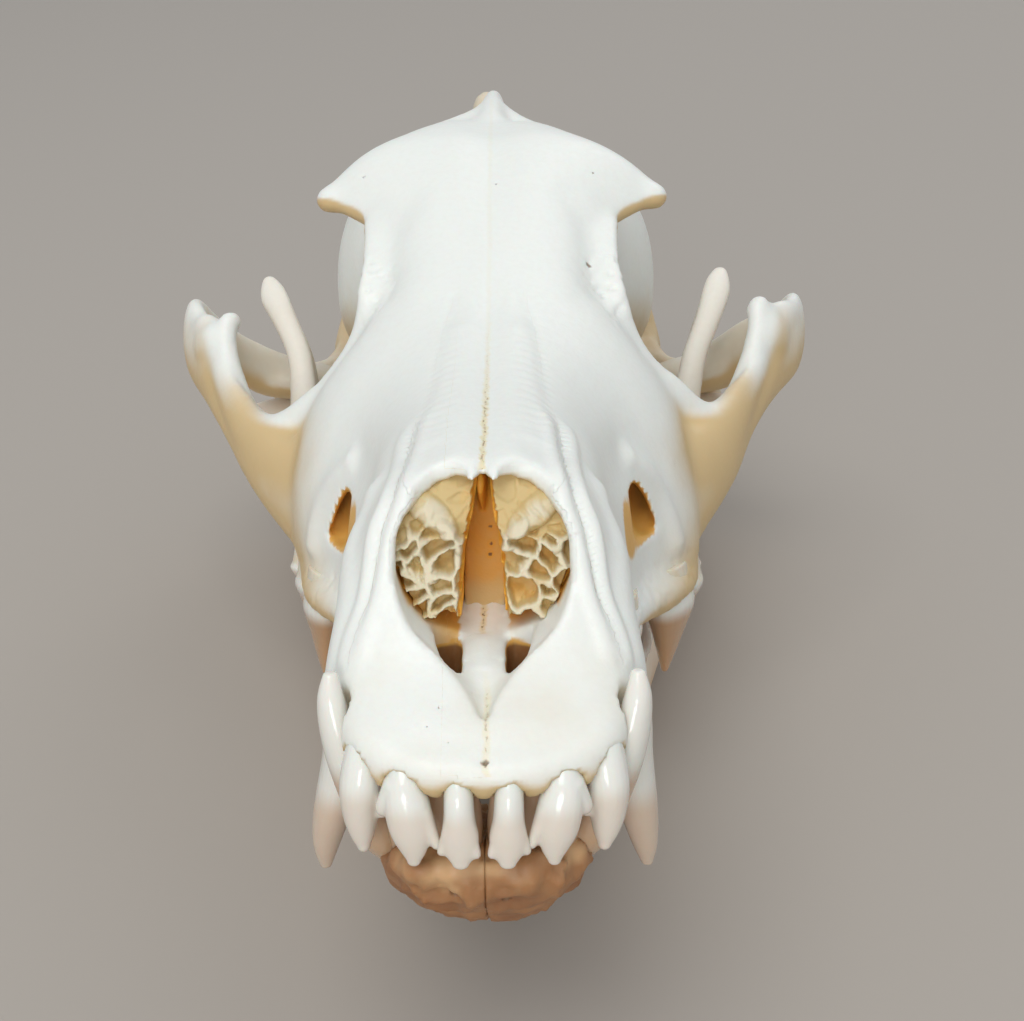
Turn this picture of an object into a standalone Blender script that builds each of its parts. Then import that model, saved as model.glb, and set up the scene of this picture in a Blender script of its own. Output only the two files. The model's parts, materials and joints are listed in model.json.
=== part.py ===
"""Coyote skull: the cranium and both halves of the lower jaw, jaws shut, life size.

Forms are worked out in millimetres in the skull's own frame, and turned into metres at
the end. That frame has its origin at the gum line between the first upper incisors, X
to the animal's left, Y to the back of the head and Z up, square to the bony palate.
"""

import math

import bmesh
import bpy
from mathutils import Matrix, Vector

METRES = 0.001
SKULL = "coyote_skull"

# How fine the bone is worked, how wide its hollows are filled, and its triangles.
VOXEL = 0.8
FILLET = 1.6
CRANIUM_TRIANGLES = 7200
JAW_TRIANGLES = 1300
RING = 36
BROW_SQUARENESS = 3.4
GAP = 0.3

# The two places under the jaw that rest on the table, as (Y, Z), and the flats there.
BELLY = (78.0, -32.2)
HEEL = (150.0, -14.6)
FLAT_DEPTH = 0.45

# Outlines along the skull, each as (Y, size) pairs.
ROSTRUM = {
    "top": ((0, 0.8), (1, 2.2), (2.5, 3.7), (6, 5.8), (8, 7.2), (10, 9.2), (11.5, 11.4), (13, 14.4),
            (15, 18.2), (17.5, 22), (20, 25), (24, 26), (32, 27), (52, 29.8), (70, 34.8), (86, 43.4)),
    "half_width": ((0, 5), (1, 7), (3, 10), (7, 12.8), (14, 15), (22, 15), (32, 14.2), (46, 15.8),
                   (58, 18.8), (66, 22.4), (71, 25.8), (77, 28), (86, 29.2)),
    "level": ((0, 0.2), (1, 0.6), (6, 2.4), (20, 4), (60, 3), (86, 4)),
    "bottom": ((0, -2.4), (2, -2.6), (7, -1.6), (12, -0.6), (40, -0.5), (86, -1.8)),
    "squareness": ((0, 2.4), (4, 3), (10, 2.8), (16, 2.5), (30, 2.45), (60, 2.2), (86, 2.0)),
    "below": ((0, 4), (86, 4)),
}
MAXILLA_SHELF = {
    "top": ((78, 14), (90, 12), (100, 10)),
    "half_width": ((78, 28), (87, 29.5), (92, 28.4), (97, 24), (101, 15)),
    "level": ((78, 5), (101, 5)),
    "bottom": ((78, -1.6), (92, -1.4), (101, 0.5)),
    "squareness": ((78, 4), (101, 3)),
    "below": ((78, 4), (101, 4)),
}
CORE = {
    "top": ((78, 34), (90, 40), (110, 52), (128, 55)),
    "half_width": ((78, 17), (90, 13), (102, 11.4), (112, 11.6), (120, 14), (128, 18)),
    "level": ((78, 18), (128, 30)),
    "bottom": ((78, 0), (98, 1), (104, 11), (128, 13)),
    "squareness": ((78, 3), (128, 2.4)),
    "below": ((78, 4), (128, 3)),
}
FOREHEAD = {
    "top": ((76, 37.2), (86, 43.4), (100, 52.6), (110, 57.6), (120, 59.2), (130, 59.2)),
    "half_width": ((76, 15.6), (86, 15.8), (95, 15.8), (100, 18), (104, 22.2), (108, 25.6),
                   (110.5, 24.6), (114, 20.6), (120, 16.6), (130, 12)),
    "edge": ((76, 30), (86, 35), (92, 40), (97, 44), (104, 46.8), (108, 47.8), (116, 50), (130, 51)),
    "droop": ((76, 6), (100, 5.6), (108, 4), (130, 6)),
}
BRAINCASE = {
    "top": ((110, 54), (126, 57.6), (148, 57), (160, 55.4), (170, 52.6), (180, 47)),
    "half_width": ((110, 14.5), (118, 16.5), (125, 20), (132, 23.8), (140, 26.6), (148, 27.6),
                   (158, 26.8), (168, 24.4), (180, 18)),
    "level": ((110, 38), (130, 35), (148, 31), (180, 29)),
    "bottom": ((110, 14), (150, 12), (180, 13)),
    "squareness": ((110, 2.3), (150, 2.25), (180, 2.2)),
    "below": ((110, 3), (130, 2.5), (180, 2.5)),
}
# The occiput is drawn up the skull instead, as (Z, size) pairs.
OCCIPUT = {
    "half_width": ((12, 12), (17, 25), (22, 28.4), (28, 27.6), (37, 23.6), (46, 18.4), (53, 11.8),
                   (57, 7), (59.5, 2.6)),
    "back": ((12, 173), (22, 176.5), (32, 178.6), (42, 182), (52, 187.4), (59.5, 191.4)),
    "half_depth": ((12, 6), (22, 8.5), (45, 7), (59.5, 3.2)),
}

# Ridges and bars as rows of X, Y, Z, half thickness and half height.
SAGITTAL_CREST = ((0, 118, 57, 2.4, 2), (0, 128, 58.6, 2.4, 3.8), (0, 140, 59.4, 2.2, 4.6),
                  (0, 155, 59.2, 2, 5.2), (0, 170, 57.4, 1.6, 5.8), (0, 182, 56.6, 1.6, 4.8),
                  (0, 188, 57, 1.8, 3.4))
TEMPORAL_LINE = ((23.4, 109, 48.8, 1.4, 1.4), (16.5, 115, 53.4, 1.3, 1.3), (8.5, 123, 57.4, 1.3, 1.3),
                 (2, 133, 60, 1.4, 1.4))
NUCHAL_CREST = ((0, 190, 58.2, 2, 2), (7.4, 187.4, 55.2, 1.7, 1.7), (13.4, 183, 51, 1.6, 1.6),
                (20, 176.5, 42, 1.6, 1.6), (25.2, 171, 31, 1.7, 1.7), (28.4, 167.5, 20, 2, 2))
EAR_RIDGE = ((35, 146, 16, 2.2, 2.2), (30, 154, 17, 2, 2), (28, 166, 19, 1.8, 1.8))
ARCH = ((26, 82, 8, 3.6, 8), (32.4, 90, 12.2, 3, 6.2), (37.6, 98, 17.2, 2.4, 5.2),
        (42.4, 106.5, 21.8, 2.1, 5.6), (46.2, 114.5, 25, 2.1, 6.6), (47.6, 121.5, 25.4, 2.1, 6.8),
        (46.8, 129.5, 23, 2.1, 5.6), (44, 136.5, 20, 2.4, 4.4), (38, 141.5, 16.6, 4, 3.8),
        (29, 145, 13.8, 5, 3.4))
ORBIT_RIM = ((17.4, 99.4, 44.4, 1.3, 1.3), (16.8, 93, 41, 1.5, 1.5), (17.8, 87.4, 37, 1.5, 1.5),
             (20.8, 86, 31, 1.8, 1.8), (24.2, 86.6, 25, 1.9, 1.9),
             (28.4, 89.6, 19.8, 2.1, 2.1), (32.6, 94, 17.6, 2.2, 2.2), (36.2, 98.6, 19.2, 2.3, 2.3),
             (38.6, 102.4, 23.4, 2.3, 2.3), (39.4, 105, 27.8, 2, 2), (39.6, 106.4, 30.2, 1.7, 1.7))
JUGAL_CREST = ((39.8, 106.6, 30, 1.7, 1.8), (42.2, 108.4, 28.8, 1.6, 2), (44.6, 110.6, 29.4, 1.7, 2.4),
               (46, 113.4, 28.8, 1.8, 3))
GUM_ARCH = ((0, 0.6, 0.2, 1.7, 2), (3.8, 0.9, 0.4, 1.8, 2.2), (7.4, 2.6, 1, 1.9, 2.4),
            (10.4, 5.6, 2, 2, 2.8), (12.2, 9.6, 2.6, 1.9, 2.8))
CANINE_ROOT = ((14, 14.5, 1, 2.6, 4), (13.6, 19, 8, 2.8, 4.4), (12.4, 26, 14.5, 2.6, 4),
               (11, 33, 18.5, 2, 3))
PTERYGOID = ((10, 93, 4, 1.8, 4.4), (9.2, 103, 7, 1.3, 6.6), (8.6, 113, 7.6, 1.3, 7),
             (8.2, 121, 6.4, 1.3, 5.6))
PAROCCIPITAL = ((22, 169, 17, 3, 3), (22.6, 171.4, 9, 2, 2.6), (22.6, 172.4, 3.4, 1.2, 1.6))
PALATINE_BAR = ((0, 9, 3.4, 2, 1.4), (0, 12, 5, 2.3, 1.5), (0, 20, 5.8, 2.4, 1.6), (0, 30, 6.4, 2.4, 1.9))

# Rounded masses as centre and radii.
BULLA = ((16.4, 157, 10.6), (8.2, 11.6, 8.4))
EAR_MOUTH = ((24.4, 158.5, 14), (6, 5, 4.6))
MASTOID = ((27.2, 167, 17), (3.6, 4.2, 5.4))
GLENOID = ((35, 142.4, 15.4), (9.4, 6.4, 3.2))
JUGAL = ((41.4, 107.6, 26.2), (3.6, 5, 4.2))
BROW_TIP = ((24, 107.8, 47.6), (2.4, 2.8, 2.1))
CREST_KNOB = ((0, 188.4, 60.6), (2.8, 3.6, 4))
POSTGLENOID = ((34, 150.6, 11.6), (7, 1.7, 4.8))
CONDYLE = ((9.2, 178, 20.5), (5.6, 7, 7.8))

# Hollows.
NOSTRIL = ((6.2, 3.0), (8.9, 4.7), (12.6, 7.2), (15.3, 8.2), (18.4, 8.6), (22, 7.4),
           (24.4, 4.8))
NASAL_DEPTH = 66.0
ROOF_THICKNESS = 1.8
SIDE_SWELL = 0.14
FLOOR_DROP = -2.2
LIP_FRONT = 3.0
LIP_BACK = 11.7
LIP_SLOPE = 0.4
FISSURE = ((9.4, 23), (2.4, 3.2, 5.8))
PALATE_VAULT = ((0, 9, -1, 5.4, 3), (0, 15, -0.6, 8, 3.8), (0, 30, -0.6, 9.4, 3.6), (0, 60, -0.8, 12, 3.4),
                (0, 92, -0.6, 12.4, 3))
FORAMEN_MAGNUM = ((0, 181, 27.4), (8.4, 22, 6.8))
EAR_HOLE = ((29.6, 159, 13.6), (4.4, 2.7, 2.5))
CHOANA = ((0, 108, 6.4), (6.8, 30, 6))
# Rows of X, Y, Z, half width and half height; each section narrows to its top.
INFRAORBITAL = ((20.2, 54, 8.4, 1.9, 3.4), (20.2, 67, 8.8, 1.8, 3.2), (21.6, 76, 9.8, 2.2, 3),
                (24.4, 90, 13.6, 2.2, 3.2))
INFRAORBITAL_TOP_WIDTH = 0.35
NASAL_NOTCH = ((3.9, 12.6), (4.6, 8.4))
NASAL_NOTCH_LEVELS = (20.5, 34)
FISSURE_LEVELS = (-6, 14)
ORBIT = ((29.6, 98, 30.6), (11, 14.4, 11.6))
JAW_SOCKET = ((24, 146.4, 8.8, 3.8, 3.8), (50, 146.8, 8.6, 3.8, 3.8))
CANINE_CLEARANCE = 0.6

# The lower jaw, one half: outlines along Y, then the upright ramus as rows of Z,
# front edge, back edge and half thickness.
JAW_BODY = {
    "upper_middle": ((2.5, 4), (8, 5.8), (14, 7.4), (22, 8.8), (45, 12), (60, 13.7), (75, 16),
                     (88, 19.1), (98, 22.3), (120, 28.8), (150, 34.2)),
    "lower_middle": ((2.5, 2.6), (8, 2.8), (14, 2.8), (22, 3.6), (31, 5.2), (45, 7.8), (60, 10.8),
                     (75, 14.2), (88, 17.6), (98, 20.4), (120, 27.8), (150, 34.2)),
    "half_width": ((2.5, 3.4), (8, 4.6), (14, 4.5), (22, 4), (31, 3.8), (60, 4), (75, 4.2), (88, 4.1),
                   (98, 3.8), (110, 3.2), (150, 2.2)),
    "top": ((2.5, -9.6), (14, -10.8), (31, -12.2), (60, -13.4), (75, -13.2), (88, -10.6), (98, -7.4),
            (110, -6), (130, -6), (146, -7.4), (154, -9.4)),
    "bottom": ((2.5, -12.6), (8, -16), (14, -18.8), (22, -21.2), (31, -23), (45, -26.2), (60, -29.6),
               (78, -32.2), (90, -31), (100, -28.4), (112, -23.6), (128, -18.6), (150, -14.6),
               (154, -12.6)),
}
# Rows of Z, front edge, back edge, half thickness, middle X and its drift with Y.
RAMUS = ((-14, 100, 140, 2.2, 30.9, 0.24), (-6, 101, 147, 2, 31.6, 0.24),
         (0, 104, 145.5, 1.9, 31.8, 0.22), (6, 107.4, 144, 1.9, 31.8, 0.18),
         (11, 110.4, 139, 1.8, 31.8, 0.14), (15, 112.8, 133.6, 1.8, 31.8, 0.11),
         (22, 117, 134, 1.7, 32.8, 0.11), (27, 121, 135.4, 1.8, 34.5, 0.11),
         (31.2, 124.6, 134.4, 2, 36, 0.11), (33.4, 128, 131.6, 1.7, 36.6, 0.11))
RAMUS_MIDDLE = 131.0
RAMUS_FRONT_RIDGE = 0.6
CHIN = {
    "top": ((2, -9.4), (6, -9.2), (14, -10.4), (24, -13), (32, -17)),
    "half_width": ((2, 6.2), (4, 8.6), (8, 10.4), (13, 10.9), (19, 10), (26, 8.8), (32, 8)),
    "level": ((2, -10.6), (14, -12), (32, -19)),
    "bottom": ((2, -13), (4, -14.8), (8, -17.6), (13, -20.6), (19, -23.6), (24, -24.6), (32, -22.6)),
    "squareness": ((2, 4), (32, 3)),
    "below": ((2, 2), (13, 2), (32, 2)),
}
JAW_CONDYLE = ((36, 146.6, 8.7), (9, 3.2, 3.1))
JAW_NECK = ((33.6, 138, 2, 2, 4), (35, 143, 6, 2.2, 3), (36, 146, 8.4, 2.4, 2.4))

# Teeth as rows from root to tip: X, Y, Z, half length along the row, half breadth.
UPPER_INCISORS = {
    1: ((2.4, 4.2, 1.8, 1.25, 1.5), (2.4, 1.4, 0.4, 1.4, 1.8), (2.3, -0.1, -3.9, 1.5, 1.75),
        (2.2, -0.8, -7, 1.9, 0.95), (2.2, -1, -8.6, 0.8, 0.5)),
    2: ((7.1, 5.8, 2.5, 1.4, 1.8), (7.4, 3, 1.1, 1.6, 2), (7.1, 0.8, -3.4, 2.2, 1.9),
        (6.6, 0.2, -7.2, 1.5, 1), (6.6, 0.1, -8.8, 0.6, 0.5)),
    3: ((10.6, 9.6, 4, 1.6, 2), (11.1, 6.5, 2.6, 1.9, 2.3), (11.8, 4.2, -2.8, 2.05, 2.4),
        (11.8, 3.9, -5.2, 1.75, 1.9), (11.6, 3.6, -8.8, 0.6, 0.6)),
}
INCISOR_HEADINGS = {1: 8.0, 2: 22.0, 3: 50.0}
UPPER_CANINE = ((12.2, 23, 9, 3.4, 2.4), (13.8, 18, 1, 4.6, 3), (14.7, 16.9, -4.5, 4, 2.6),
                (15.8, 17, -10, 2.9, 2.1), (16.5, 18, -14.6, 1.7, 1.4), (16.8, 18.8, -17.6, 0.6, 0.55))
UPPER_CANINE_HEADING = 80.0
LOWER_CANINE = ((8.8, 14, -14.6, 2, 1.6), (10.4, 11.8, -11, 3.8, 2.6), (12.4, 10.2, -5.4, 3.2, 2.4),
                (14, 9.3, 0, 2.5, 2), (14.9, 9.1, 4.4, 1.7, 1.4), (15, 9.3, 7.2, 0.7, 0.65))
LOWER_CANINE_HEADING = 75.0
# The lower incisors as X, Y and Z of the tip and half width, and how their roots stand.
LOWER_INCISORS = ((1.75, 4.6, -3.2, 1.55), (4.9, 5.2, -3.4, 1.55), (8.2, 7, -3.2, 1.75))
LOWER_INCISOR_HEADING = 4.5
LOWER_INCISOR_ROOT = ((5, -15, 0.7, 1.4), (1.8, -10.6, 0.85, 1.8), (0.8, -6.6, 1, 1.6))

# Cheek teeth as cusps: X, Y of the middle, half length, half breadth, gum Z, tip Z and
# how far behind the middle the tip lies.
UPPER_CHEEK_TEETH = (
    ((12.9, 27.6, 2.8, 1.7, -0.4, -4.6, -0.3),),
    ((13.6, 38.6, 5.2, 2.1, -0.5, -7, -0.6),),
    ((16.2, 51.6, 6, 2.3, -0.8, -9, -0.8),),
    ((23.2, 70, 7.2, 3.3, -1.4, -14, 0.9), (26, 78.2, 4.8, 2.8, -1.6, -9, 0.6),
     (19.6, 64.6, 2.6, 2.6, -1, -4.8, 0)),
    ((26.2, 84.6, 3.2, 3.2, -1.6, -7, 0), (26.2, 89, 3, 3, -1.6, -6.2, 0),
     (19.4, 86.4, 4.6, 4.6, -1.4, -4.6, 0)),
    ((22.6, 94.4, 3, 3, -1, -4.4, 0), (18.6, 94.8, 2.8, 3.4, -0.8, -3.4, 0)),
)
LOWER_CHEEK_TEETH = (
    ((10.2, 21.6, 2.1, 1.5, -11.6, -8.4, -0.2),),
    ((10.9, 32, 4.4, 1.9, -12.2, -7, -0.5),),
    ((12.2, 44.6, 5.2, 2.1, -12.8, -6.8, -0.5),),
    ((14.2, 57.4, 5.8, 2.4, -13.2, -5.8, -0.3),),
    ((17.4, 69.6, 4.8, 2.5, -13.4, -5.6, 0), (18.6, 75.6, 5, 2.8, -13.2, -2.4, 0.4),
     (20, 82.6, 3.9, 3, -12, -7.4, 0)),
    ((22.4, 90.4, 4.2, 2.7, -10, -5.8, 0),),
    ((24.4, 97, 2.1, 1.9, -7.8, -4.8, 0),),
)
CHEEK_SIDES = 7
ROOT_DEPTH = 3.2

# The scrolls in the nose: the body that they fill, and the slots between their sheets.
SCROLL_BODY = ((4.4, 20, 16.8, 2.3, 4.6), (4.5, 26, 17.2, 2.5, 5), (4.6, 40, 17.4, 2.6, 5.1),
               (4.6, 56, 17.6, 2.4, 4.8))
# Each slot between two sheets: height, how far out its middle lies and its tilt.
SCROLL_SLOTS = ((12.8, 4, -10), (15.2, 5.2, 10), (17.6, 4, -10), (20, 5.2, 10))
SCROLL_SLOT_FRONT = 17
SCROLL_SLOT_SIZE = (3, 9, 0.55)
SEPTUM = ((0, 20, 14, 0.55, 5), (0, 30, 15.6, 0.55, 6.4), (0, 45, 15.8, 0.55, 6.8), (0, 58, 16, 0.55, 6.6))

BONE = (0.86, 0.80, 0.68)
JAW_BONE = (0.84, 0.77, 0.63)
INNER_BONE = (0.80, 0.63, 0.42)

# How the real skull is not quite even: a place, how far around it the bone follows, and its shift.
NUDGES = (
    ((0, 188, 62), 8, (-1.5, 0, 0)),
    ((-19, 109, 52), 7, (0, 0, 0.7)),
    ((22, 109, 49), 6, (0, 0, 0.8)),
    ((40.5, 108, 31.5), 4, (0.8, 0, 1.3)),
    ((-45.5, 113, 31), 4, (0.6, 0, -0.9)),
    ((43, 100, 18), 14, (-1.1, 0, 0)),
    ((45, 134, 24), 8, (0, 0, 1.2)),
    ((-21.5, 85, 30), 8, (1.9, 0, 0)),
    ((27, 71, -4), 10, (1.5, 0, 0)),
    ((-28, 75, -1), 9, (1.1, 0, 0)),
    ((-35.5, 128, 30), 7, (0.5, 0, -0.9)),
)


def outline(points):
    """Give the smooth function through (place, size) points that never overshoots them."""
    slopes = [(b[1] - a[1]) / (b[0] - a[0]) for a, b in zip(points, points[1:])]
    inner = [2 * m * n / (m + n) if m * n > 0 else 0.0 for m, n in zip(slopes, slopes[1:])]
    tangents = [slopes[0], *inner, slopes[-1]]

    def size(place):
        place = min(max(place, points[0][0]), points[-1][0])
        i = max(k for k in range(len(slopes)) if points[k][0] <= place)
        (start, low), (end, high) = points[i], points[i + 1]
        span = end - start
        t = (place - start) / span
        rise = low + (high - low) * t * t * (3 - 2 * t)
        lean = span * t * (1 - t) * (tangents[i] * (1 - t) - tangents[i + 1] * t)
        return rise + lean

    return size


def spread(first, last, step):
    """Places from first to last, about one step apart."""
    count = max(2, round((last - first) / step) + 1)
    return [first + (last - first) * i / (count - 1) for i in range(count)]


def flow(rows, steps=5):
    """Rows of numbers drawn out into a smooth run through them all."""
    out = []
    for i in range(len(rows) - 1):
        before = rows[max(i - 1, 0)]
        a, b = rows[i], rows[i + 1]
        after = rows[min(i + 2, len(rows) - 1)]
        for k in range(steps):
            t = k / steps
            out.append(tuple(
                q + 0.5 * t * (r - p + t * (2 * p - 5 * q + 4 * r - s + t * (3 * (q - r) + s - p)))
                for p, q, r, s in zip(before, a, b, after)
            ))
    out.append(tuple(rows[-1]))
    return out


def power(value, exponent):
    return math.copysign(abs(value) ** exponent, value)


def new_object(name, mesh_data, collection=None):
    """Close a bmesh into an object with its faces pointing out."""
    bmesh.ops.recalc_face_normals(mesh_data, faces=mesh_data.faces)
    mesh = bpy.data.meshes.new(name)
    mesh_data.to_mesh(mesh)
    mesh_data.free()
    piece = bpy.data.objects.new(name, mesh)
    (collection or WORK).objects.link(piece)
    return piece


def loft(name, rings):
    """Skin closed rings of points, with both ends capped."""
    mesh = bmesh.new()
    loops = [[mesh.verts.new(point) for point in ring] for ring in rings]
    for near, far in zip(loops, loops[1:]):
        for i, corner in enumerate(near):
            j = (i + 1) % len(near)
            mesh.faces.new((corner, near[j], far[j], far[i]))
    for end in (loops[0], loops[-1]):
        mesh.faces.new(end)
    return new_object(name, mesh)


def mass(name, outlines, first, last, step=2.0):
    """A form drawn along Y: an oval at each place, flatter as its squareness grows."""
    sizes = {key: outline(points) for key, points in outlines.items()}
    rings = []
    for y in spread(first, last, step):
        level = sizes["level"](y)
        wide = sizes["half_width"](y)
        up = sizes["top"](y) - level
        down = level - sizes["bottom"](y)
        above = 2 / sizes["squareness"](y)
        below = 2 / sizes["below"](y)
        ring = []
        for k in range(RING):
            turn = 2 * math.pi * k / RING
            c, s = math.cos(turn), math.sin(turn)
            if s >= 0:
                ring.append((wide * power(c, above), y, level + up * power(s, above)))
            else:
                ring.append((wide * power(c, below), y, level + down * power(s, below)))
        rings.append(ring)
    return loft(name, rings)


def bar(name, rows, side=1, up=(0, 0, 1), sides=14, steps=5):
    """A bar with rounded ends along rows of X, Y, Z, half thickness and half height."""
    run = flow(rows, steps)
    places = [Vector((side * row[0], row[1], row[2])) for row in run]
    up = Vector(up)
    rings = []
    for i, (place, row) in enumerate(zip(places, run)):
        ahead = (places[min(i + 1, len(run) - 1)] - places[max(i - 1, 0)]).normalized()
        across = ahead.cross(up).normalized()
        rise = across.cross(ahead).normalized()
        ends = {0: (-1, (0.9, 0.55)), len(run) - 1: (1, (0.55, 0.9))}
        way, caps = ends.get(i, (0, ()))
        reach = min(row[3], row[4])
        layers = [(way * reach * cap, math.sqrt(1 - cap * cap)) for cap in caps]
        layers.insert(len(layers) if way < 0 else 0, (0, 1))
        for push, size in layers:
            middle = place + ahead * push
            rings.append([
                middle + across * row[3] * size * math.cos(turn) + rise * row[4] * size * math.sin(turn)
                for turn in (2 * math.pi * k / sides for k in range(sides))
            ])
    return loft(name, rings)


def ball(name, form, side=1, turn=(0, 0, 0), segments=24):
    """An ellipsoid with centre and radii from form."""
    centre, radii = form
    mesh = bmesh.new()
    bmesh.ops.create_uvsphere(mesh, u_segments=segments, v_segments=segments // 2, radius=1)
    place = Matrix.Translation((side * centre[0], centre[1], centre[2]))
    for axis, angle in zip("XYZ", turn):
        flip = 1 if axis == "X" else side
        place = place @ Matrix.Rotation(math.radians(flip * angle), 4, axis)
    bmesh.ops.transform(mesh, matrix=place @ Matrix.Diagonal((*radii, 1)), verts=mesh.verts)
    return new_object(name, mesh)


def apply_modifiers(piece):
    """Keep what the piece's modifiers make as its own mesh."""
    graph = bpy.context.evaluated_depsgraph_get()
    made = bpy.data.meshes.new_from_object(piece.evaluated_get(graph))
    piece.modifiers.clear()
    old = piece.data
    piece.data = made
    bpy.data.meshes.remove(old)


def join(name, pieces):
    """Put the pieces' meshes together in one object and drop the pieces."""
    mesh = bmesh.new()
    for piece in pieces:
        mesh.from_mesh(piece.data)
        bpy.data.objects.remove(piece)
    return new_object(name, mesh)


def remesh(piece, size):
    modifier = piece.modifiers.new("Remesh", "REMESH")
    modifier.mode = "VOXEL"
    modifier.voxel_size = size
    apply_modifiers(piece)


def swell(piece, amount):
    modifier = piece.modifiers.new("Displace", "DISPLACE")
    modifier.direction = "NORMAL"
    modifier.mid_level = 0
    modifier.strength = amount
    apply_modifiers(piece)


def smooth(piece, times, factor=0.5):
    modifier = piece.modifiers.new("Smooth", "SMOOTH")
    modifier.factor = factor
    modifier.iterations = times
    apply_modifiers(piece)


def grow_together(piece, fillet, times):
    """Fuse overlapping masses into one skin, with the hollows between them filled."""
    remesh(piece, VOXEL)
    swell(piece, fillet)
    remesh(piece, VOXEL)
    swell(piece, -fillet)
    remesh(piece, VOXEL)
    smooth(piece, times)


def boolean(piece, pieces, operation, solver="EXACT"):
    """Add or take away closed pieces, which are dropped afterwards."""
    group = bpy.data.collections.new("Operands")
    CUTTERS.children.link(group)
    for other in pieces:
        other.hide_render = True
        other.display_type = "WIRE"
        for owner in list(other.users_collection):
            owner.objects.unlink(other)
        group.objects.link(other)
    modifier = piece.modifiers.new("Boolean", "BOOLEAN")
    modifier.operand_type = "COLLECTION"
    modifier.collection = group
    modifier.operation = operation
    modifier.solver = solver
    apply_modifiers(piece)
    for other in list(group.objects):
        bpy.data.objects.remove(other)
    bpy.data.collections.remove(group)


def thin_out(piece, triangles):
    """Bring the piece down to a number of triangles."""
    mesh = bmesh.new()
    mesh.from_mesh(piece.data)
    bmesh.ops.triangulate(mesh, faces=mesh.faces)
    mesh.to_mesh(piece.data)
    mesh.free()
    modifier = piece.modifiers.new("Decimate", "DECIMATE")
    modifier.ratio = min(1.0, triangles / len(piece.data.polygons))
    apply_modifiers(piece)


def keep_largest(piece):
    """Keep the largest closed surface, in triangles."""
    mesh = bmesh.new()
    mesh.from_mesh(piece.data)
    bmesh.ops.triangulate(mesh, faces=mesh.faces)
    left = set(mesh.verts)
    shells = []
    while left:
        shell = set()
        reach = [left.pop()]
        while reach:
            corner = reach.pop()
            shell.add(corner)
            for edge in corner.link_edges:
                other = edge.other_vert(corner)
                if other in left:
                    left.remove(other)
                    reach.append(other)
        shells.append(shell)
    shells.sort(key=len)
    for shell in shells[:-1]:
        bmesh.ops.delete(mesh, geom=list(shell), context="VERTS")
    mesh.to_mesh(piece.data)
    mesh.free()


def forehead_mass():
    """The roof between the eyes, out to the tips of the postorbital processes."""
    sizes = {key: outline(points) for key, points in FOREHEAD.items()}
    rings = []
    for y in spread(76, 130, 1.5):
        edge = sizes["edge"](y)
        rise = sizes["top"](y) - edge
        ring = []
        for k in range(RING):
            turn = 2 * math.pi * k / RING
            c, s = math.cos(turn), math.sin(turn)
            lift = rise * (1 - abs(c) ** BROW_SQUARENESS) if s > 0 else sizes["droop"](y) * s
            ring.append((sizes["half_width"](y) * c, y, edge + lift))
        rings.append(ring)
    return loft("forehead", rings)


def occiput_mass():
    """The back of the skull, from the foramen up to the nuchal crest."""
    sizes = {key: outline(points) for key, points in OCCIPUT.items()}
    rings = []
    for z in spread(12, 62.5, 1.5):
        depth = sizes["half_depth"](z)
        middle = sizes["back"](z) - depth
        rings.append([
            (sizes["half_width"](z) * math.cos(turn), middle + depth * math.sin(turn), z)
            for turn in (2 * math.pi * k / RING for k in range(RING))
        ])
    return loft("occiput", rings)


def cranium_masses():
    pieces = [
        mass("rostrum", ROSTRUM, 0, 86),
        mass("maxilla_shelf", MAXILLA_SHELF, 78, 101),
        mass("core", CORE, 78, 128),
        mass("braincase", BRAINCASE, 110, 180),
        forehead_mass(),
        occiput_mass(),
        bar("sagittal_crest", SAGITTAL_CREST),
    ]
    for side in (1, -1):
        pieces += [
            bar("temporal_line", TEMPORAL_LINE, side),
            bar("nuchal_crest", NUCHAL_CREST, side),
            bar("ear_ridge", EAR_RIDGE, side),
            bar("arch", ARCH, side),
            bar("orbit_rim", ORBIT_RIM, side, up=(0, 1, 0.3)),
            bar("jugal_crest", JUGAL_CREST, side),
            bar("canine_root", CANINE_ROOT, side),
            bar("gum_arch", GUM_ARCH, side),
            bar("pterygoid", PTERYGOID, side),
            bar("paroccipital", PAROCCIPITAL, side, up=(0, 1, 0)),
            ball("bulla", BULLA, side, turn=(0, 0, 12)),
            ball("ear_mouth", EAR_MOUTH, side),
            ball("mastoid", MASTOID, side),
            ball("glenoid", GLENOID, side, turn=(0, 0, 8)),
            ball("jugal", JUGAL, side, turn=(0, 0, -30)),
            ball("brow_tip", BROW_TIP, side),
            ball("postglenoid", POSTGLENOID, side, turn=(0, 0, 8)),
            ball("condyle", CONDYLE, side, turn=(0, 0, -24)),
        ]
    return pieces


def nasal_hollow():
    """The nasal cavity: the nostril's own outline, wider behind the rim, narrow over the lip."""
    half = outline(NOSTRIL)
    top = outline(ROSTRUM["top"])
    low, high = NOSTRIL[0][0], NOSTRIL[-1][0]
    rings = []
    for y in spread(LIP_FRONT, NASAL_DEPTH, 1.5):
        inside = min(1.0, max(0.0, (y - LIP_BACK) / 14))
        roof = min(top(y) - ROOF_THICKNESS, 26.0) if y > 20 else high
        before = max(0.0, LIP_BACK - y)
        floor = low - FLOOR_DROP * inside - LIP_SLOPE * before
        narrow = max(0.04, 1 - before / (LIP_BACK - LIP_FRONT))
        ring = []
        for k in range(24):
            turn = math.pi * (2 * k + 1) / 24
            up = math.sin(turn)
            level = 0.5 * (1 + up)
            z = floor + (roof - floor) * level
            swell = 1 + SIDE_SWELL * inside * (1 - level)
            wide = half(low + (high - low) * level) * narrow * swell
            wide = max(wide * math.sqrt(1 - abs(up) ** 6), 0.2)
            ring.append((wide * power(math.cos(turn), 0.12), y, z))
        rings.append(ring)
    return loft("nasal_hollow", rings)


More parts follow.
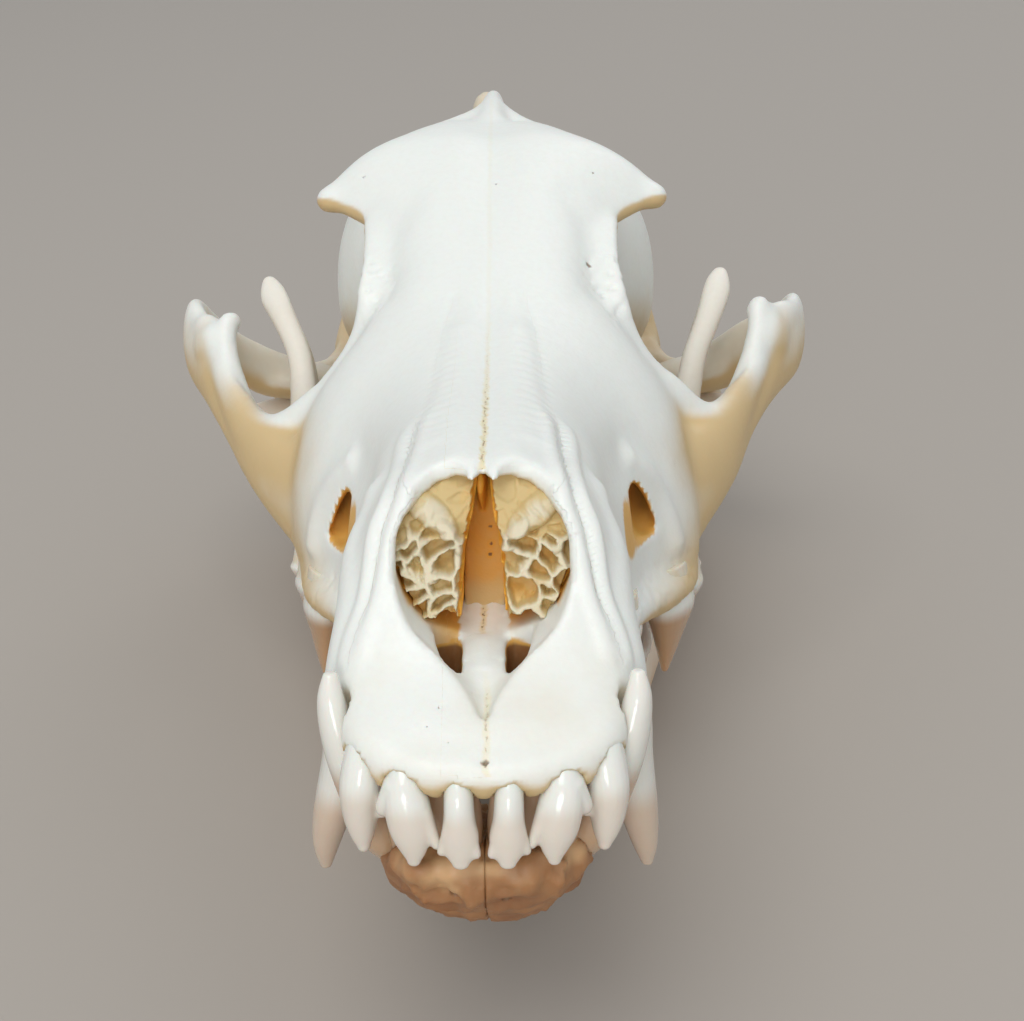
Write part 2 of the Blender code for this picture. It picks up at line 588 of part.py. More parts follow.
def fissure(side):
    """One incisive opening from above: a straight back edge, and narrow in front."""
    (front, back), (inner, narrow, outer) = FISSURE
    ring = []
    for t in spread(0, 1, 0.1):
        ring.append((narrow + (outer - narrow) * math.sqrt(t), front + (back - front) * t))
    ring += [(inner, back), (inner, front)]
    return loft("fissure", [[(side * x, y, z) for x, y in ring] for z in FISSURE_LEVELS])


def infraorbital(side):
    """The canal in the cheek, wide below and narrow above, from its mouth to the eye socket."""
    rings = []
    for x, y, z, wide, tall in flow(INFRAORBITAL, 4):
        ring = []
        for k in range(RING):
            turn = 2 * math.pi * k / RING
            c, s = math.cos(turn), math.sin(turn)
            narrow = 1 + (INFRAORBITAL_TOP_WIDTH - 1) * 0.5 * (1 + s)
            ring.append((side * (x + wide * narrow * c), y, z + tall * s))
        rings.append(ring)
    return loft("infraorbital", rings)


def nasal_notch(side):
    """The bay in the front edge of one nasal bone, seen from above."""
    (x, y), (half_x, half_y) = NASAL_NOTCH
    return loft("nasal_notch", [
        [(side * x + half_x * math.cos(turn), y + half_y * math.sin(turn), z)
         for turn in (2 * math.pi * k / RING for k in range(RING))]
        for z in NASAL_NOTCH_LEVELS
    ])


def cranium_hollows():
    """What is cut out of the bone once its masses have grown together."""
    pieces = [
        nasal_hollow(),
        ball("foramen_magnum", FORAMEN_MAGNUM),
        ball("choana", CHOANA),
        bar("palate_vault", PALATE_VAULT, sides=20),
    ]
    for side in (1, -1):
        pieces += [
            fissure(side),
            ball("ear_hole", EAR_HOLE, side),
            ball("orbit", ORBIT, side, turn=(0, 0, -20)),
            nasal_notch(side),
            infraorbital(side),
            bar("jaw_socket", JAW_SOCKET, side),
        ]
        more = CANINE_CLEARANCE
        notch = tuple((*row[:3], row[3] + more, row[4] + more) for row in LOWER_CANINE[1:])
        pieces.append(bar("canine_notch", notch, side, up=(1, 0, 0)))
    return pieces


def peg(name, rows, side, heading, sides=9):
    """A tooth of level rings, turned to its heading and closed at root and tip."""
    along = math.radians(heading)
    rings = []
    for x, y, z, half_along, half_across in rows:
        ring = []
        for k in range(sides):
            turn = 2 * math.pi * (k + 0.5) / sides
            a, b = half_along * math.cos(turn), half_across * math.sin(turn)
            ring.append((
                side * (x + a * math.cos(along) - b * math.sin(along)),
                y + a * math.sin(along) + b * math.cos(along),
                z,
            ))
        rings.append(ring)
    return loft(name, rings)


def cusp(name, form, side, heading):
    """One cusp: a swollen base over the gum and hollow flanks up to a blunt tip."""
    x, y, long, broad, gum, tip, back = form
    rise = tip - gum
    rows = [
        (x, y, gum - math.copysign(ROOT_DEPTH, rise), long * 0.8, broad * 0.7),
        (x, y, gum, long * 0.94, broad * 0.9),
        (x, y, gum + 0.22 * rise, long, broad),
        (x, y + 0.7 * back, gum + 0.68 * rise, long * 0.46, broad * 0.48),
        (x, y + back, tip, long * 0.09, broad * 0.12),
    ]
    return peg(name, rows, side, heading, sides=CHEEK_SIDES)


def cheek_heading(y, side_line):
    """How the tooth row runs at this place, in degrees from X."""
    here, there = side_line(y - 3), side_line(y + 3)
    return math.degrees(math.atan2(6, there - here))


def row_line(teeth):
    """The run of a tooth row, X over Y, through each tooth's first cusp."""
    return outline(tuple((form[0][1], form[0][0]) for form in teeth))


def upper_teeth(side):
    pieces = [
        peg(f"incisor_{number}", rows, side, INCISOR_HEADINGS[number])
        for number, rows in UPPER_INCISORS.items()
    ]
    pieces.append(peg("canine", UPPER_CANINE, side, UPPER_CANINE_HEADING, sides=10))
    line = row_line(UPPER_CHEEK_TEETH[:4])
    for tooth in UPPER_CHEEK_TEETH:
        for form in tooth:
            pieces.append(cusp("cheek_cusp", form, side, cheek_heading(form[1], line)))
    return pieces


def lower_teeth(side):
    pieces = [peg("canine", LOWER_CANINE, side, LOWER_CANINE_HEADING, sides=10)]
    for x, y, tip, half in LOWER_INCISORS:
        rows = [
            (x * (1 - 0.02 * back), y + back, z, half * share, deep)
            for back, z, share, deep in LOWER_INCISOR_ROOT
        ]
        rows.append((x, y, tip, half * 0.7, 0.5))
        pieces.append(peg("incisor", rows, side, x * LOWER_INCISOR_HEADING, sides=8))
    line = row_line(LOWER_CHEEK_TEETH)
    for tooth in LOWER_CHEEK_TEETH:
        for form in tooth:
            pieces.append(cusp("cheek_cusp", form, side, cheek_heading(form[1], line)))
    return pieces


def jaw_body(side):
    """The tooth-bearing bar of the jaw, out to the tip of the angular process."""
    sizes = {key: outline(points) for key, points in JAW_BODY.items()}
    rings = []
    for y in spread(2.5, 154, 2):
        top, bottom = sizes["top"](y), sizes["bottom"](y)
        middle, half = 0.5 * (top + bottom), 0.5 * (top - bottom)
        ring = []
        upper, lower = sizes["upper_middle"](y), sizes["lower_middle"](y)
        for k in range(RING):
            turn = 2 * math.pi * k / RING
            c, s = math.cos(turn), power(math.sin(turn), 0.9)
            x = lower + (upper - lower) * 0.5 * (1 + s) + sizes["half_width"](y) * c
            ring.append((side * x, y, middle + half * s))
        rings.append(ring)
    return loft("jaw_body", rings)


def ramus(side):
    """The upright blade of the jaw, up to the tip of the coronoid process."""
    rings = []
    for z, front, back, half, across, drift in flow(RAMUS, 3):
        middle, long = 0.5 * (front + back), 0.5 * (back - front)
        ring = []
        for k in range(RING):
            turn = 2 * math.pi * k / RING
            y = middle + long * power(math.cos(turn), 0.6)
            x = across + drift * (y - RAMUS_MIDDLE) + half * power(math.sin(turn), 0.6)
            ring.append((side * x, y, z))
        rings.append(ring)
    return loft("ramus", rings)


def ramus_ridge(side):
    """The thick front edge of the coronoid process, in front of the muscle's hollow."""
    rows = []
    for z, front, _back, half, across, drift in RAMUS:
        y = front + 1.6
        rows.append((across + drift * (y - RAMUS_MIDDLE) + 0.3, y, z, half + RAMUS_FRONT_RIDGE, 1.7))
    return bar("ramus_ridge", rows, side, up=(0, 1, 0))


def cut_level(piece, point, normal):
    """Take off what lies beyond a plane and close the cut with a flat face."""
    mesh = bmesh.new()
    mesh.from_mesh(piece.data)
    geometry = [*mesh.verts, *mesh.edges, *mesh.faces]
    cut = bmesh.ops.bisect_plane(mesh, geom=geometry, plane_co=point, plane_no=normal, clear_outer=True)
    edges = [item for item in cut["geom_cut"] if isinstance(item, bmesh.types.BMEdge)]
    bmesh.ops.triangle_fill(mesh, edges=edges, use_beauty=True, use_dissolve=False)
    bmesh.ops.recalc_face_normals(mesh, faces=mesh.faces)
    mesh.to_mesh(piece.data)
    mesh.free()


def build_cranium():
    cranium = join("cranium", cranium_masses())
    grow_together(cranium, FILLET, 6)
    boolean(cranium, cranium_hollows(), "DIFFERENCE", "MANIFOLD")
    cranium = join("cranium", [cranium, bar("palatine_bar", PALATINE_BAR), ball("crest_knob", CREST_KNOB)])
    remesh(cranium, VOXEL)
    smooth(cranium, 2)
    thin_out(cranium, CRANIUM_TRIANGLES)
    keep_largest(cranium)
    boolean(cranium, upper_teeth(1) + upper_teeth(-1), "UNION")
    keep_largest(cranium)
    return cranium


def build_jaw(side):
    name = "mandible_left" if side > 0 else "mandible_right"
    pieces = [
        jaw_body(side),
        ramus(side),
        ramus_ridge(side),
        mass("chin", CHIN, 2, 32),
        bar("jaw_neck", JAW_NECK, side),
        ball("jaw_condyle", JAW_CONDYLE, side, turn=(0, 0, 6)),
    ]
    jaw = join(name, pieces)
    grow_together(jaw, 1.0, 4)
    thin_out(jaw, JAW_TRIANGLES)
    boolean(jaw, lower_teeth(side), "UNION")
    cut_level(jaw, (side * 0.5 * GAP, 0, 0), (-side, 0, 0))
    keep_largest(jaw)
    return jaw


def build_scrolls(side):
    name = "turbinates_left" if side > 0 else "turbinates_right"
    scrolls = bar(name, SCROLL_BODY, side, sides=14, steps=2)
    slots = []
    for z, out, tilt in SCROLL_SLOTS:
        form = ((out, SCROLL_SLOT_FRONT, z), SCROLL_SLOT_SIZE)
        slots.append(ball("slot", form, side, turn=(0, tilt, 0), segments=8))
    boolean(scrolls, slots, "DIFFERENCE")
    keep_largest(scrolls)
    return scrolls


def nudge(piece):
    """Shift the piece's corners as the real skull is uneven."""
    moves = [(Vector(place), reach, Vector(shift)) for place, reach, shift in NUDGES]
    for corner in piece.data.vertices:
        shifts = [shift * math.exp(-((corner.co - place).length / reach) ** 2) for place, reach, shift in moves]
        corner.co += sum(shifts, Vector())


def rest_turn():
    """The matrix from the skull's frame to the table's, in metres."""
    pitch = math.atan2(HEEL[1] - BELLY[1], HEEL[0] - BELLY[0])
    return Matrix.Rotation(-pitch, 4, "X")


def material(name, colour, roughness):
    made = bpy.data.materials.new(name)
    made.use_nodes = True
    shader = made.node_tree.nodes["Principled BSDF"]
    shader.inputs["Base Color"].default_value = (*colour, 1)
    shader.inputs["Roughness"].default_value = roughness
    return made


def main():
    built = {
        "cranium": build_cranium(),
        "mandible_left": build_jaw(1),
        "mandible_right": build_jaw(-1),
        "turbinates_left": build_scrolls(1),
        "turbinates_right": build_scrolls(-1),
        "nasal_septum": bar("nasal_septum", SEPTUM, sides=10, steps=2),
    }
    turn = rest_turn()
    for piece in built.values():
        nudge(piece)
        piece.data.transform(turn)
    jaws = [built["mandible_left"], built["mandible_right"]]
    floor = min(corner.co.z for jaw in jaws for corner in jaw.data.vertices) + FLAT_DEPTH
    for jaw in jaws:
        cut_level(jaw, (0, 0, floor), (0, 0, -1))
    corners = [corner.co for piece in built.values() for corner in piece.data.vertices]
    middle = [0.5 * (min(c[i] for c in corners) + max(c[i] for c in corners)) for i in range(2)]
    to_table = Matrix.Scale(METRES, 4) @ Matrix.Translation((-middle[0], -middle[1], -floor))
    bone = material("bone", BONE, 0.45)
    jaw_bone = material("jaw_bone", JAW_BONE, 0.5)
    inner_bone = material("inner_bone", INNER_BONE, 0.6)
    looks = {"cranium": bone, "mandible_left": jaw_bone, "mandible_right": jaw_bone}
    for name, piece in built.items():
        piece.data.transform(to_table)
        piece.data.materials.clear()
        piece.data.materials.append(looks.get(name, inner_bone))
        piece.data.shade_smooth()
        piece.data.set_sharp_from_angle(angle=math.radians(50))
        piece.name = name
        for owner in list(piece.users_collection):
            owner.objects.unlink(piece)
        PARTS.objects.link(piece)
    return turn, to_table


for leftover in list(bpy.data.objects):
    bpy.data.objects.remove(leftover)
PARTS = bpy.data.collections.new(SKULL)
WORK = bpy.data.collections.new("Masses")
CUTTERS = bpy.data.collections.new("Cutters")
for group in (PARTS, WORK, CUTTERS):
    bpy.context.scene.collection.children.link(group)
TURN, TO_TABLE = main()
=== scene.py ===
"""A cleaned and bleached coyote skull with shut jaws, lying on a plain pale table.

Forms are worked out in millimetres in the skull's own frame, as in the part: the origin at
the gum line between the first upper incisors, X to the animal's left, Y to the back of the
head and Z up, square to the bony palate. They are turned into metres on the table at the end.
"""

import json
import math

import bmesh
import bpy
import numpy as np
from mathutils import Matrix, Vector

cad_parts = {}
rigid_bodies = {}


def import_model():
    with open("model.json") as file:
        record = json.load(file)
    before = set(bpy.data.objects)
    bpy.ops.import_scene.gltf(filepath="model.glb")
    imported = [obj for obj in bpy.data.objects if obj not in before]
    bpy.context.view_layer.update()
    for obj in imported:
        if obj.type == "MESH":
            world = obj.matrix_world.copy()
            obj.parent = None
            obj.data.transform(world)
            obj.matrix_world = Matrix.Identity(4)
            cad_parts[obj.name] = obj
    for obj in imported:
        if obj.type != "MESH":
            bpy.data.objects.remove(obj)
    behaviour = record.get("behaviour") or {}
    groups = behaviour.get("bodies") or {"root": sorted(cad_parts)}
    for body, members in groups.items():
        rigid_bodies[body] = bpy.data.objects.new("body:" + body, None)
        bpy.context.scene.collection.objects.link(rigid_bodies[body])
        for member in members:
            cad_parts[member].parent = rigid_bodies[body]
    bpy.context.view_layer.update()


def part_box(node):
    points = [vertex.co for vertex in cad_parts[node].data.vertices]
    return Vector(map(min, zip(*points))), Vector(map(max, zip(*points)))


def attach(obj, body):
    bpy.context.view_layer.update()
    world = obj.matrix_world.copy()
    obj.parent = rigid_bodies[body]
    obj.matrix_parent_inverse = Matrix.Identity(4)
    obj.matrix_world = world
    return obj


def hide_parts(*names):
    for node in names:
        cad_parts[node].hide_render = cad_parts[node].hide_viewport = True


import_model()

METRES = 0.001
VOXEL = 0.5
TOOTH_VOXEL = 0.18
SEPTUM_VOXEL = 0.25
FILLET = 1.6
JAW_FILLET = 1.0
STEP = 1.5
FINE_STEP = 1.2
HOLLOW_STEP = 0.75
RING = 48
PEG_SIDES = 28
BALL_SEGMENTS = 32
# How far out the rings of a bar's rounded end lie, as shares of its thinner half size.
BAR_CAPS = (0.45, 0.8, 0.97)
# The gap between the two halves of the lower jaw.
GAP = 0.04
# What counts as far from a seam or a hole.
FAR = 9.0
# Large numbers that make the noise.
SHAKES = (127.1, 311.7, 74.7)
NET_SHAKES = ((127.1, 269.5), (311.7, 183.3))
SHAKE = 43758.5453

# The two places under the jaw that rest on the table, as (Y, Z).
BELLY = (78.0, -32.2)
HEEL = (150.0, -14.6)

# Outlines along the skull, each as (Y, size) pairs.
ROSTRUM = {
    "top": ((0, 0.8), (1, 2.2), (2.5, 3.7), (6, 5.8), (8, 7.2), (10, 9.2), (11.5, 11.4), (13, 14.4),
            (15, 18.2), (17.5, 22), (20, 25), (24, 26), (32, 27), (52, 29.8), (70, 34.8), (86, 43.4)),
    "half_width": ((0, 5), (1, 7), (3, 10), (7, 12.8), (14, 15), (22, 15), (32, 14.2), (46, 15.8),
                   (58, 18.8), (66, 22.4), (71, 25.8), (77, 28), (86, 29.2)),
    "level": ((0, 0.2), (1, 0.6), (6, 2.4), (20, 4), (60, 3), (86, 4)),
    "bottom": ((0, -2.4), (2, -2.6), (7, -1.6), (12, -0.6), (40, -0.5), (56, -1.2), (66, -3),
               (78, -3.4), (86, -2.6)),
    "squareness": ((0, 2.4), (4, 3), (10, 2.8), (16, 2.5), (30, 2.45), (60, 2.2), (74, 2.08), (86, 1.8)),
    "below": ((0, 4), (86, 4)),
}
MAXILLA_SHELF = {
    "top": ((78, 14), (90, 12), (100, 10)),
    "half_width": ((78, 28), (87, 29.5), (92, 28.4), (97, 24), (101, 15)),
    "level": ((78, 5), (101, 5)),
    "bottom": ((78, -1.6), (92, -1.4), (101, 0.5)),
    "squareness": ((78, 4), (101, 3)),
    "below": ((78, 4), (101, 4)),
}
CORE = {
    "top": ((78, 34), (90, 40), (110, 52), (128, 55)),
    "half_width": ((78, 17), (90, 13), (102, 11.4), (112, 11.6), (120, 14), (128, 18)),
    "level": ((78, 18), (128, 30)),
    "bottom": ((78, 0), (98, 1), (104, 11), (128, 13)),
    "squareness": ((78, 3), (128, 2.4)),
    "below": ((78, 4), (128, 3)),
}
FOREHEAD = {
    "top": ((76, 37.2), (86, 43.4), (100, 52.6), (110, 57.6), (120, 59.2), (130, 59.2)),
    "half_width": ((76, 15.6), (86, 15.8), (95, 15.8), (100, 18), (104, 22.2), (108, 25.6),
                   (110.5, 24.6), (114, 20.6), (120, 16.6), (130, 12)),
    "edge": ((76, 30), (86, 35), (92, 40), (97, 44), (104, 46.8), (108, 47.8), (116, 50), (130, 51)),
    "droop": ((76, 6), (100, 5.6), (108, 4), (130, 6)),
}
BROW_SQUARENESS = 3.4
BRAINCASE = {
    "top": ((110, 54), (126, 57.6), (148, 57), (160, 55.4), (170, 52.6), (180, 47)),
    "half_width": ((110, 14.5), (118, 16.5), (125, 20), (132, 23.8), (140, 26.6), (148, 27.6),
                   (158, 26.8), (168, 24.4), (180, 18)),
    "level": ((110, 38), (130, 35), (148, 31), (180, 29)),
    "bottom": ((110, 14), (150, 12), (180, 13)),
    "squareness": ((110, 2.3), (150, 2.25), (180, 2.2)),
    "below": ((110, 3), (130, 2.5), (180, 2.5)),
}
# The occiput is drawn up the skull instead, as (Z, size) pairs.
OCCIPUT = {
    "half_width": ((12, 12), (17, 25), (22, 28.4), (28, 27.6), (37, 23.6), (46, 18.4), (53, 11.8),
                   (57, 7), (59.5, 2.6)),
    "back": ((12, 173), (22, 176.5), (32, 178.6), (42, 182), (52, 187.4), (59.5, 191.4)),
    "half_depth": ((12, 6), (22, 8.5), (45, 7), (59.5, 3.2)),
}

# Ridges and bars as rows of X, Y, Z, half thickness and half height; BARS are those on each side.
SAGITTAL_CREST = (
    (0, 118, 57, 2.4, 2), (0, 128, 58.6, 2.4, 3.8), (0, 140, 59.4, 2.2, 4.6), (0, 155, 59.2, 2, 5.2),
    (0, 170, 57.4, 1.6, 5.8), (0, 182, 56.6, 1.6, 4.8), (0, 188, 57, 1.8, 3.4),
)
ORBIT_RIM = (
    (17.4, 99.4, 44.4, 1.3, 1.3), (16.8, 93, 41, 1.5, 1.5), (17.6, 87.4, 36.2, 1.5, 1.5),
    (20.2, 86, 29.4, 1.8, 1.8), (23.8, 86.6, 22.8, 1.9, 1.9), (28.4, 89.4, 18.1, 2.2, 2.2),
    (32.8, 93.6, 16.8, 2.2, 2.2), (36.8, 98.2, 18.8, 2, 2), (39.3, 102.2, 23.4, 1.8, 1.8),
    (40.3, 105, 27.8, 1.6, 1.6), (40.1, 106.4, 30.2, 1.7, 1.7),
)
PALATINE_BAR = (
    (0, 9, 3.4, 2, 1.4), (0, 12, 5.1, 2.3, 1.6), (0, 16, 6, 2.4, 1.9), (0, 20, 6.7, 2.4, 1.9),
    (0, 24, 7.6, 2.35, 2), (0, 28, 9, 2.2, 2.1), (0, 31, 10.8, 1.9, 1.9),
)
BARS = {
    "temporal_line": (
        (23.4, 109, 48.8, 1.4, 1.4), (16.5, 115, 53.4, 1.3, 1.3), (8.5, 123, 57.4, 1.3, 1.3),
        (2, 133, 60, 1.4, 1.4),
    ),
    "nuchal_crest": (
        (0, 190, 58.2, 2, 2), (7.4, 187.4, 55.2, 1.7, 1.7), (13.4, 183, 51, 1.6, 1.6),
        (20, 176.5, 42, 1.6, 1.6), (25.2, 171, 31, 1.7, 1.7), (28.4, 167.5, 20, 2, 2),
    ),
    "ear_ridge": ((35, 146, 15.6, 2.2, 2.2), (30, 154, 15.8, 2, 2), (28, 166, 18.4, 1.8, 1.8)),
    "arch": (
        (26, 82, 8, 3.6, 8), (32.4, 90, 12.2, 3, 6.2), (37.6, 98, 17.2, 2.4, 5.2),
        (42.4, 106.5, 21.8, 2.1, 5.6), (46.2, 114.5, 25, 2.1, 6.6), (47.6, 121.5, 25.4, 2.1, 6.8),
        (46.8, 129.5, 23, 2.1, 5.6), (44, 136.5, 20, 2.4, 4.4), (38, 141.5, 16.6, 4, 3.8),
        (29, 145, 13.8, 5, 3.4),
    ),
    "orbit_rim": ORBIT_RIM,
    "jugal_crest": (
        (39.8, 106.6, 30, 1.7, 1.8), (42.2, 108.4, 28.8, 1.6, 2), (44.6, 110.6, 29.4, 1.7, 2.4),
        (46, 113.4, 28.8, 1.8, 3),
    ),
    "canine_root": (
        (14, 14.5, 1, 2.6, 4), (13.6, 19, 8, 2.8, 4.4), (12.4, 26, 14.5, 2.6, 4), (11, 33, 18.5, 2, 3),
    ),
    "gum_arch": (
        (0, 0.5, -0.1, 1.7, 2.1), (3.8, 0.75, -0.1, 1.8, 2.2), (7.4, 2.1, 0, 2.1, 2.6),
        (10.7, 5, 1, 2.5, 3), (12.5, 9.2, 2, 2.2, 3),
    ),
    "cheek_gum": (
        (14, 40, -0.4, 2, 1.8), (17, 54, -0.8, 2.4, 2.2), (21.4, 64, -1.2, 2.8, 2.4),
        (24.2, 73, -1.4, 2.9, 2.3), (25.4, 82, -1, 2.8, 2.2), (24.8, 90, -0.6, 2.6, 2),
    ),
    "pterygoid": (
        (10, 93, 4, 1.8, 4.4), (9.2, 103, 7, 1.3, 6.6), (8.6, 113, 7.6, 1.3, 7),
        (8.2, 121, 6.4, 1.3, 5.6),
    ),
    "paroccipital": ((22, 169, 17, 3, 3), (22.6, 171.4, 9, 2, 2.6), (22.6, 172.4, 3.4, 1.2, 1.6)),
}
# The direction of the half height, for the bars in which it isn't upright.
UPWARDS = {"orbit_rim": (0, 1, 0.3), "paroccipital": (0, 1, 0)}

# Rounded masses on each side as centre, radii and turn about Z in degrees.
BALLS = {
    "bulla": ((16.4, 157, 10.6), (8.2, 11.6, 8.4), 12),
    "ear_mouth": ((24.4, 158.5, 14), (6, 5, 4.6), 0),
    "mastoid": ((27.2, 167, 17), (3.6, 4.2, 5.4), 0),
    "glenoid": ((35, 142.4, 15.4), (9.4, 6.4, 3.2), 8),
    "jugal": ((42.4, 107.6, 26.2), (3, 4.8, 4.2), -30),
    "brow_tip": ((24, 107.8, 47.6), (2.4, 2.8, 2.1), 0),
    "postglenoid": ((34, 150.6, 11.6), (7, 1.7, 4.8), 8),
    "condyle": ((9.2, 178, 20.5), (5.6, 7, 7.8), -24),
}
CREST_KNOB = ((0, 188.4, 60.6), (2.8, 3.6, 4))

# The nostril as (Z, half width) pairs, and the cavity behind it.
NOSTRIL = (
    (6.2, 3.2), (7.6, 4.6), (8.9, 5.9), (10.4, 7.2), (12.6, 8.4), (15.3, 9.05), (17.4, 9.1),
    (20.4, 8.3), (22.4, 6.9), (24.4, 4.9),
)
NASAL_DEPTH = 84.0
NASAL_CEILING = 26.0
ROOF_THICKNESS = 1.4
SIDE_SWELL = 0.14
FLOOR_DROP = -2.2
FLOOR_RUN = 14
LIP_FRONT = 3.0
LIP_BACK = 11.7
LIP_SLOPE = 0.4
# The front of each nasal bone as a bar, added after the cavity is cut.
NASAL_TIP = (
    (1.6, 32, 26.3, 1.2, 0.7), (1.5, 25, 25.2, 0.9, 0.65), (1.3, 21.5, 24.5, 0.6, 0.55),
    (1.15, 19.2, 24.1, 0.4, 0.4),
)
# The bay in front of each nasal bone, seen from above: its middle and its half sizes.
NASAL_NOTCH = ((3.9, 12.6), (4.6, 9.2))
# The gap between the tips of the nasal bones: half width in front, and where it starts and ends.
NASAL_GAP = (0.85, 15, 23.8)
# An opening in the palate: where it starts and ends and how slanted its back edge is, then
# its inner side, and its outer side in front and behind.
FISSURE = ((10.2, 18.9, 1.3), (2.25, 3.3, 5.3))
# Other hollows, as rows of a bar or as centre and radii.
PALATE_VAULT = (
    (0, 9, -1, 5.4, 3), (0, 15, -0.6, 8, 3.8), (0, 30, -0.6, 9.4, 3.6), (0, 60, -0.8, 12, 3.4),
    (0, 92, -0.6, 12.4, 3),
)
FORAMEN_MAGNUM = ((0, 181, 27.4), (8.4, 22, 6.8))
EAR_HOLE = ((29.6, 159, 13.6), (4.4, 2.7, 2.5))
CHOANA = ((0, 108, 6.4), (6.8, 30, 6))
# Rows of X, Y, Z, half width and half height; each section narrows to its top and leans inwards.
INFRAORBITAL = (
    (19, 54, 10.2, 2.2, 3.7), (18.8, 60.5, 10.5, 2.1, 3.7), (18.9, 64.5, 10.3, 1.8, 3.3),
    (19.4, 67.5, 11.4, 1.5, 2.3), (20.9, 71.5, 13, 1.5, 2.2), (24, 78, 14.8, 1.7, 2.3),
    (26.6, 89, 16.4, 2, 2.7),
)
# How wide the canal is at its top, as a share, and how far it leans there.
INFRAORBITAL_TOP_WIDTH = 0.3
INFRAORBITAL_LEAN = 1.1
# How far up the skull the blocks reach that cut the palate's openings and the nasal bones.
FISSURE_REACH = (-6, 14)
NASAL_REACH = (20.5, 34)
# The room that the bone leaves round a lower canine and an upper incisor.
CANINE_ROOM = 0.6
SOCKET_ROOM = 0.1
ORBIT = ((29.6, 98, 30.6), (11, 14.4, 11.6))
JAW_SOCKET = ((24, 146.4, 8.8, 3.8, 3.8), (50, 146.8, 8.6, 3.8, 3.8))

# The lower jaw, one half: outlines along Y.
JAW_BODY = {
    "upper_middle": ((2.5, 4), (8, 5.8), (14, 7.4), (22, 8.8), (45, 12), (60, 13.7), (75, 16),
                     (88, 19.1), (98, 22.3), (120, 28.8), (150, 34.2)),
    "lower_middle": ((2.5, 2.6), (8, 2.8), (14, 2.8), (22, 3.6), (31, 5.2), (45, 7.8), (60, 10.8),
                     (75, 14.2), (88, 17.6), (98, 20.4), (120, 27.8), (150, 34.2)),
    "half_width": ((2.5, 3.4), (8, 4.6), (14, 4.5), (22, 4), (31, 3.8), (60, 4), (75, 4.2), (88, 4.1),
                   (98, 3.8), (110, 3.2), (150, 2.2)),
    "top": ((2.5, -9.6), (14, -10.8), (31, -12.2), (60, -13.4), (75, -13.2), (88, -10.6), (98, -7.4),
            (110, -6), (130, -6), (146, -7.4), (154, -9.4)),
    "bottom": ((2.5, -12.6), (8, -16), (14, -18.8), (22, -21.2), (31, -23), (45, -26.2), (60, -29.6),
               (78, -32.2), (90, -31), (100, -28.4), (112, -23.6), (128, -18.6), (150, -14.6),
               (154, -12.6)),
}
# Rows of Z, front edge, back edge, half thickness, middle X and its drift with Y.
RAMUS = (
    (-14, 100, 140, 2.2, 30.9, 0.24), (-6, 101, 147, 2, 31.6, 0.24), (0, 104, 145.5, 1.9, 31.8, 0.22),
    (6, 107.4, 144, 1.9, 31.8, 0.18), (11, 110.4, 139, 1.8, 31.8, 0.14),
    (15, 112.8, 133.6, 1.8, 31.8, 0.11), (22, 117, 134, 1.5, 32.8, 0.11),
    (27, 121, 135.4, 1.5, 34.5, 0.11), (31.2, 124.6, 134.4, 1.8, 36, 0.11),
    (33, 127, 132.6, 1.5, 36.5, 0.11), (34, 128.6, 131, 0.8, 36.7, 0.11),
)
RAMUS_MIDDLE = 131.0
RAMUS_FRONT_RIDGE = 0.6
CHIN = {
    "top": ((2, -9.4), (6, -9.2), (14, -10.4), (24, -13), (32, -17)),
    "half_width": ((2, 6), (4, 8.3), (8, 10), (13, 10.5), (19, 9.7), (26, 8.6), (32, 8)),
    "level": ((2, -10.6), (14, -12), (32, -19)),
    "bottom": ((2, -13), (4, -14.8), (8, -17.6), (13, -20.6), (19, -23.6), (24, -24.6), (32, -22.6)),
    "squareness": ((2, 4), (32, 3)),
    "below": ((2, 2), (13, 2), (32, 2)),
}
JAW_CONDYLE = ((36, 146.6, 8.7), (9, 3.2, 3.1))
JAW_NECK = ((33.6, 138, 2, 2, 4), (35, 143, 6, 2.2, 3), (36, 146, 8.4, 2.4, 2.4))

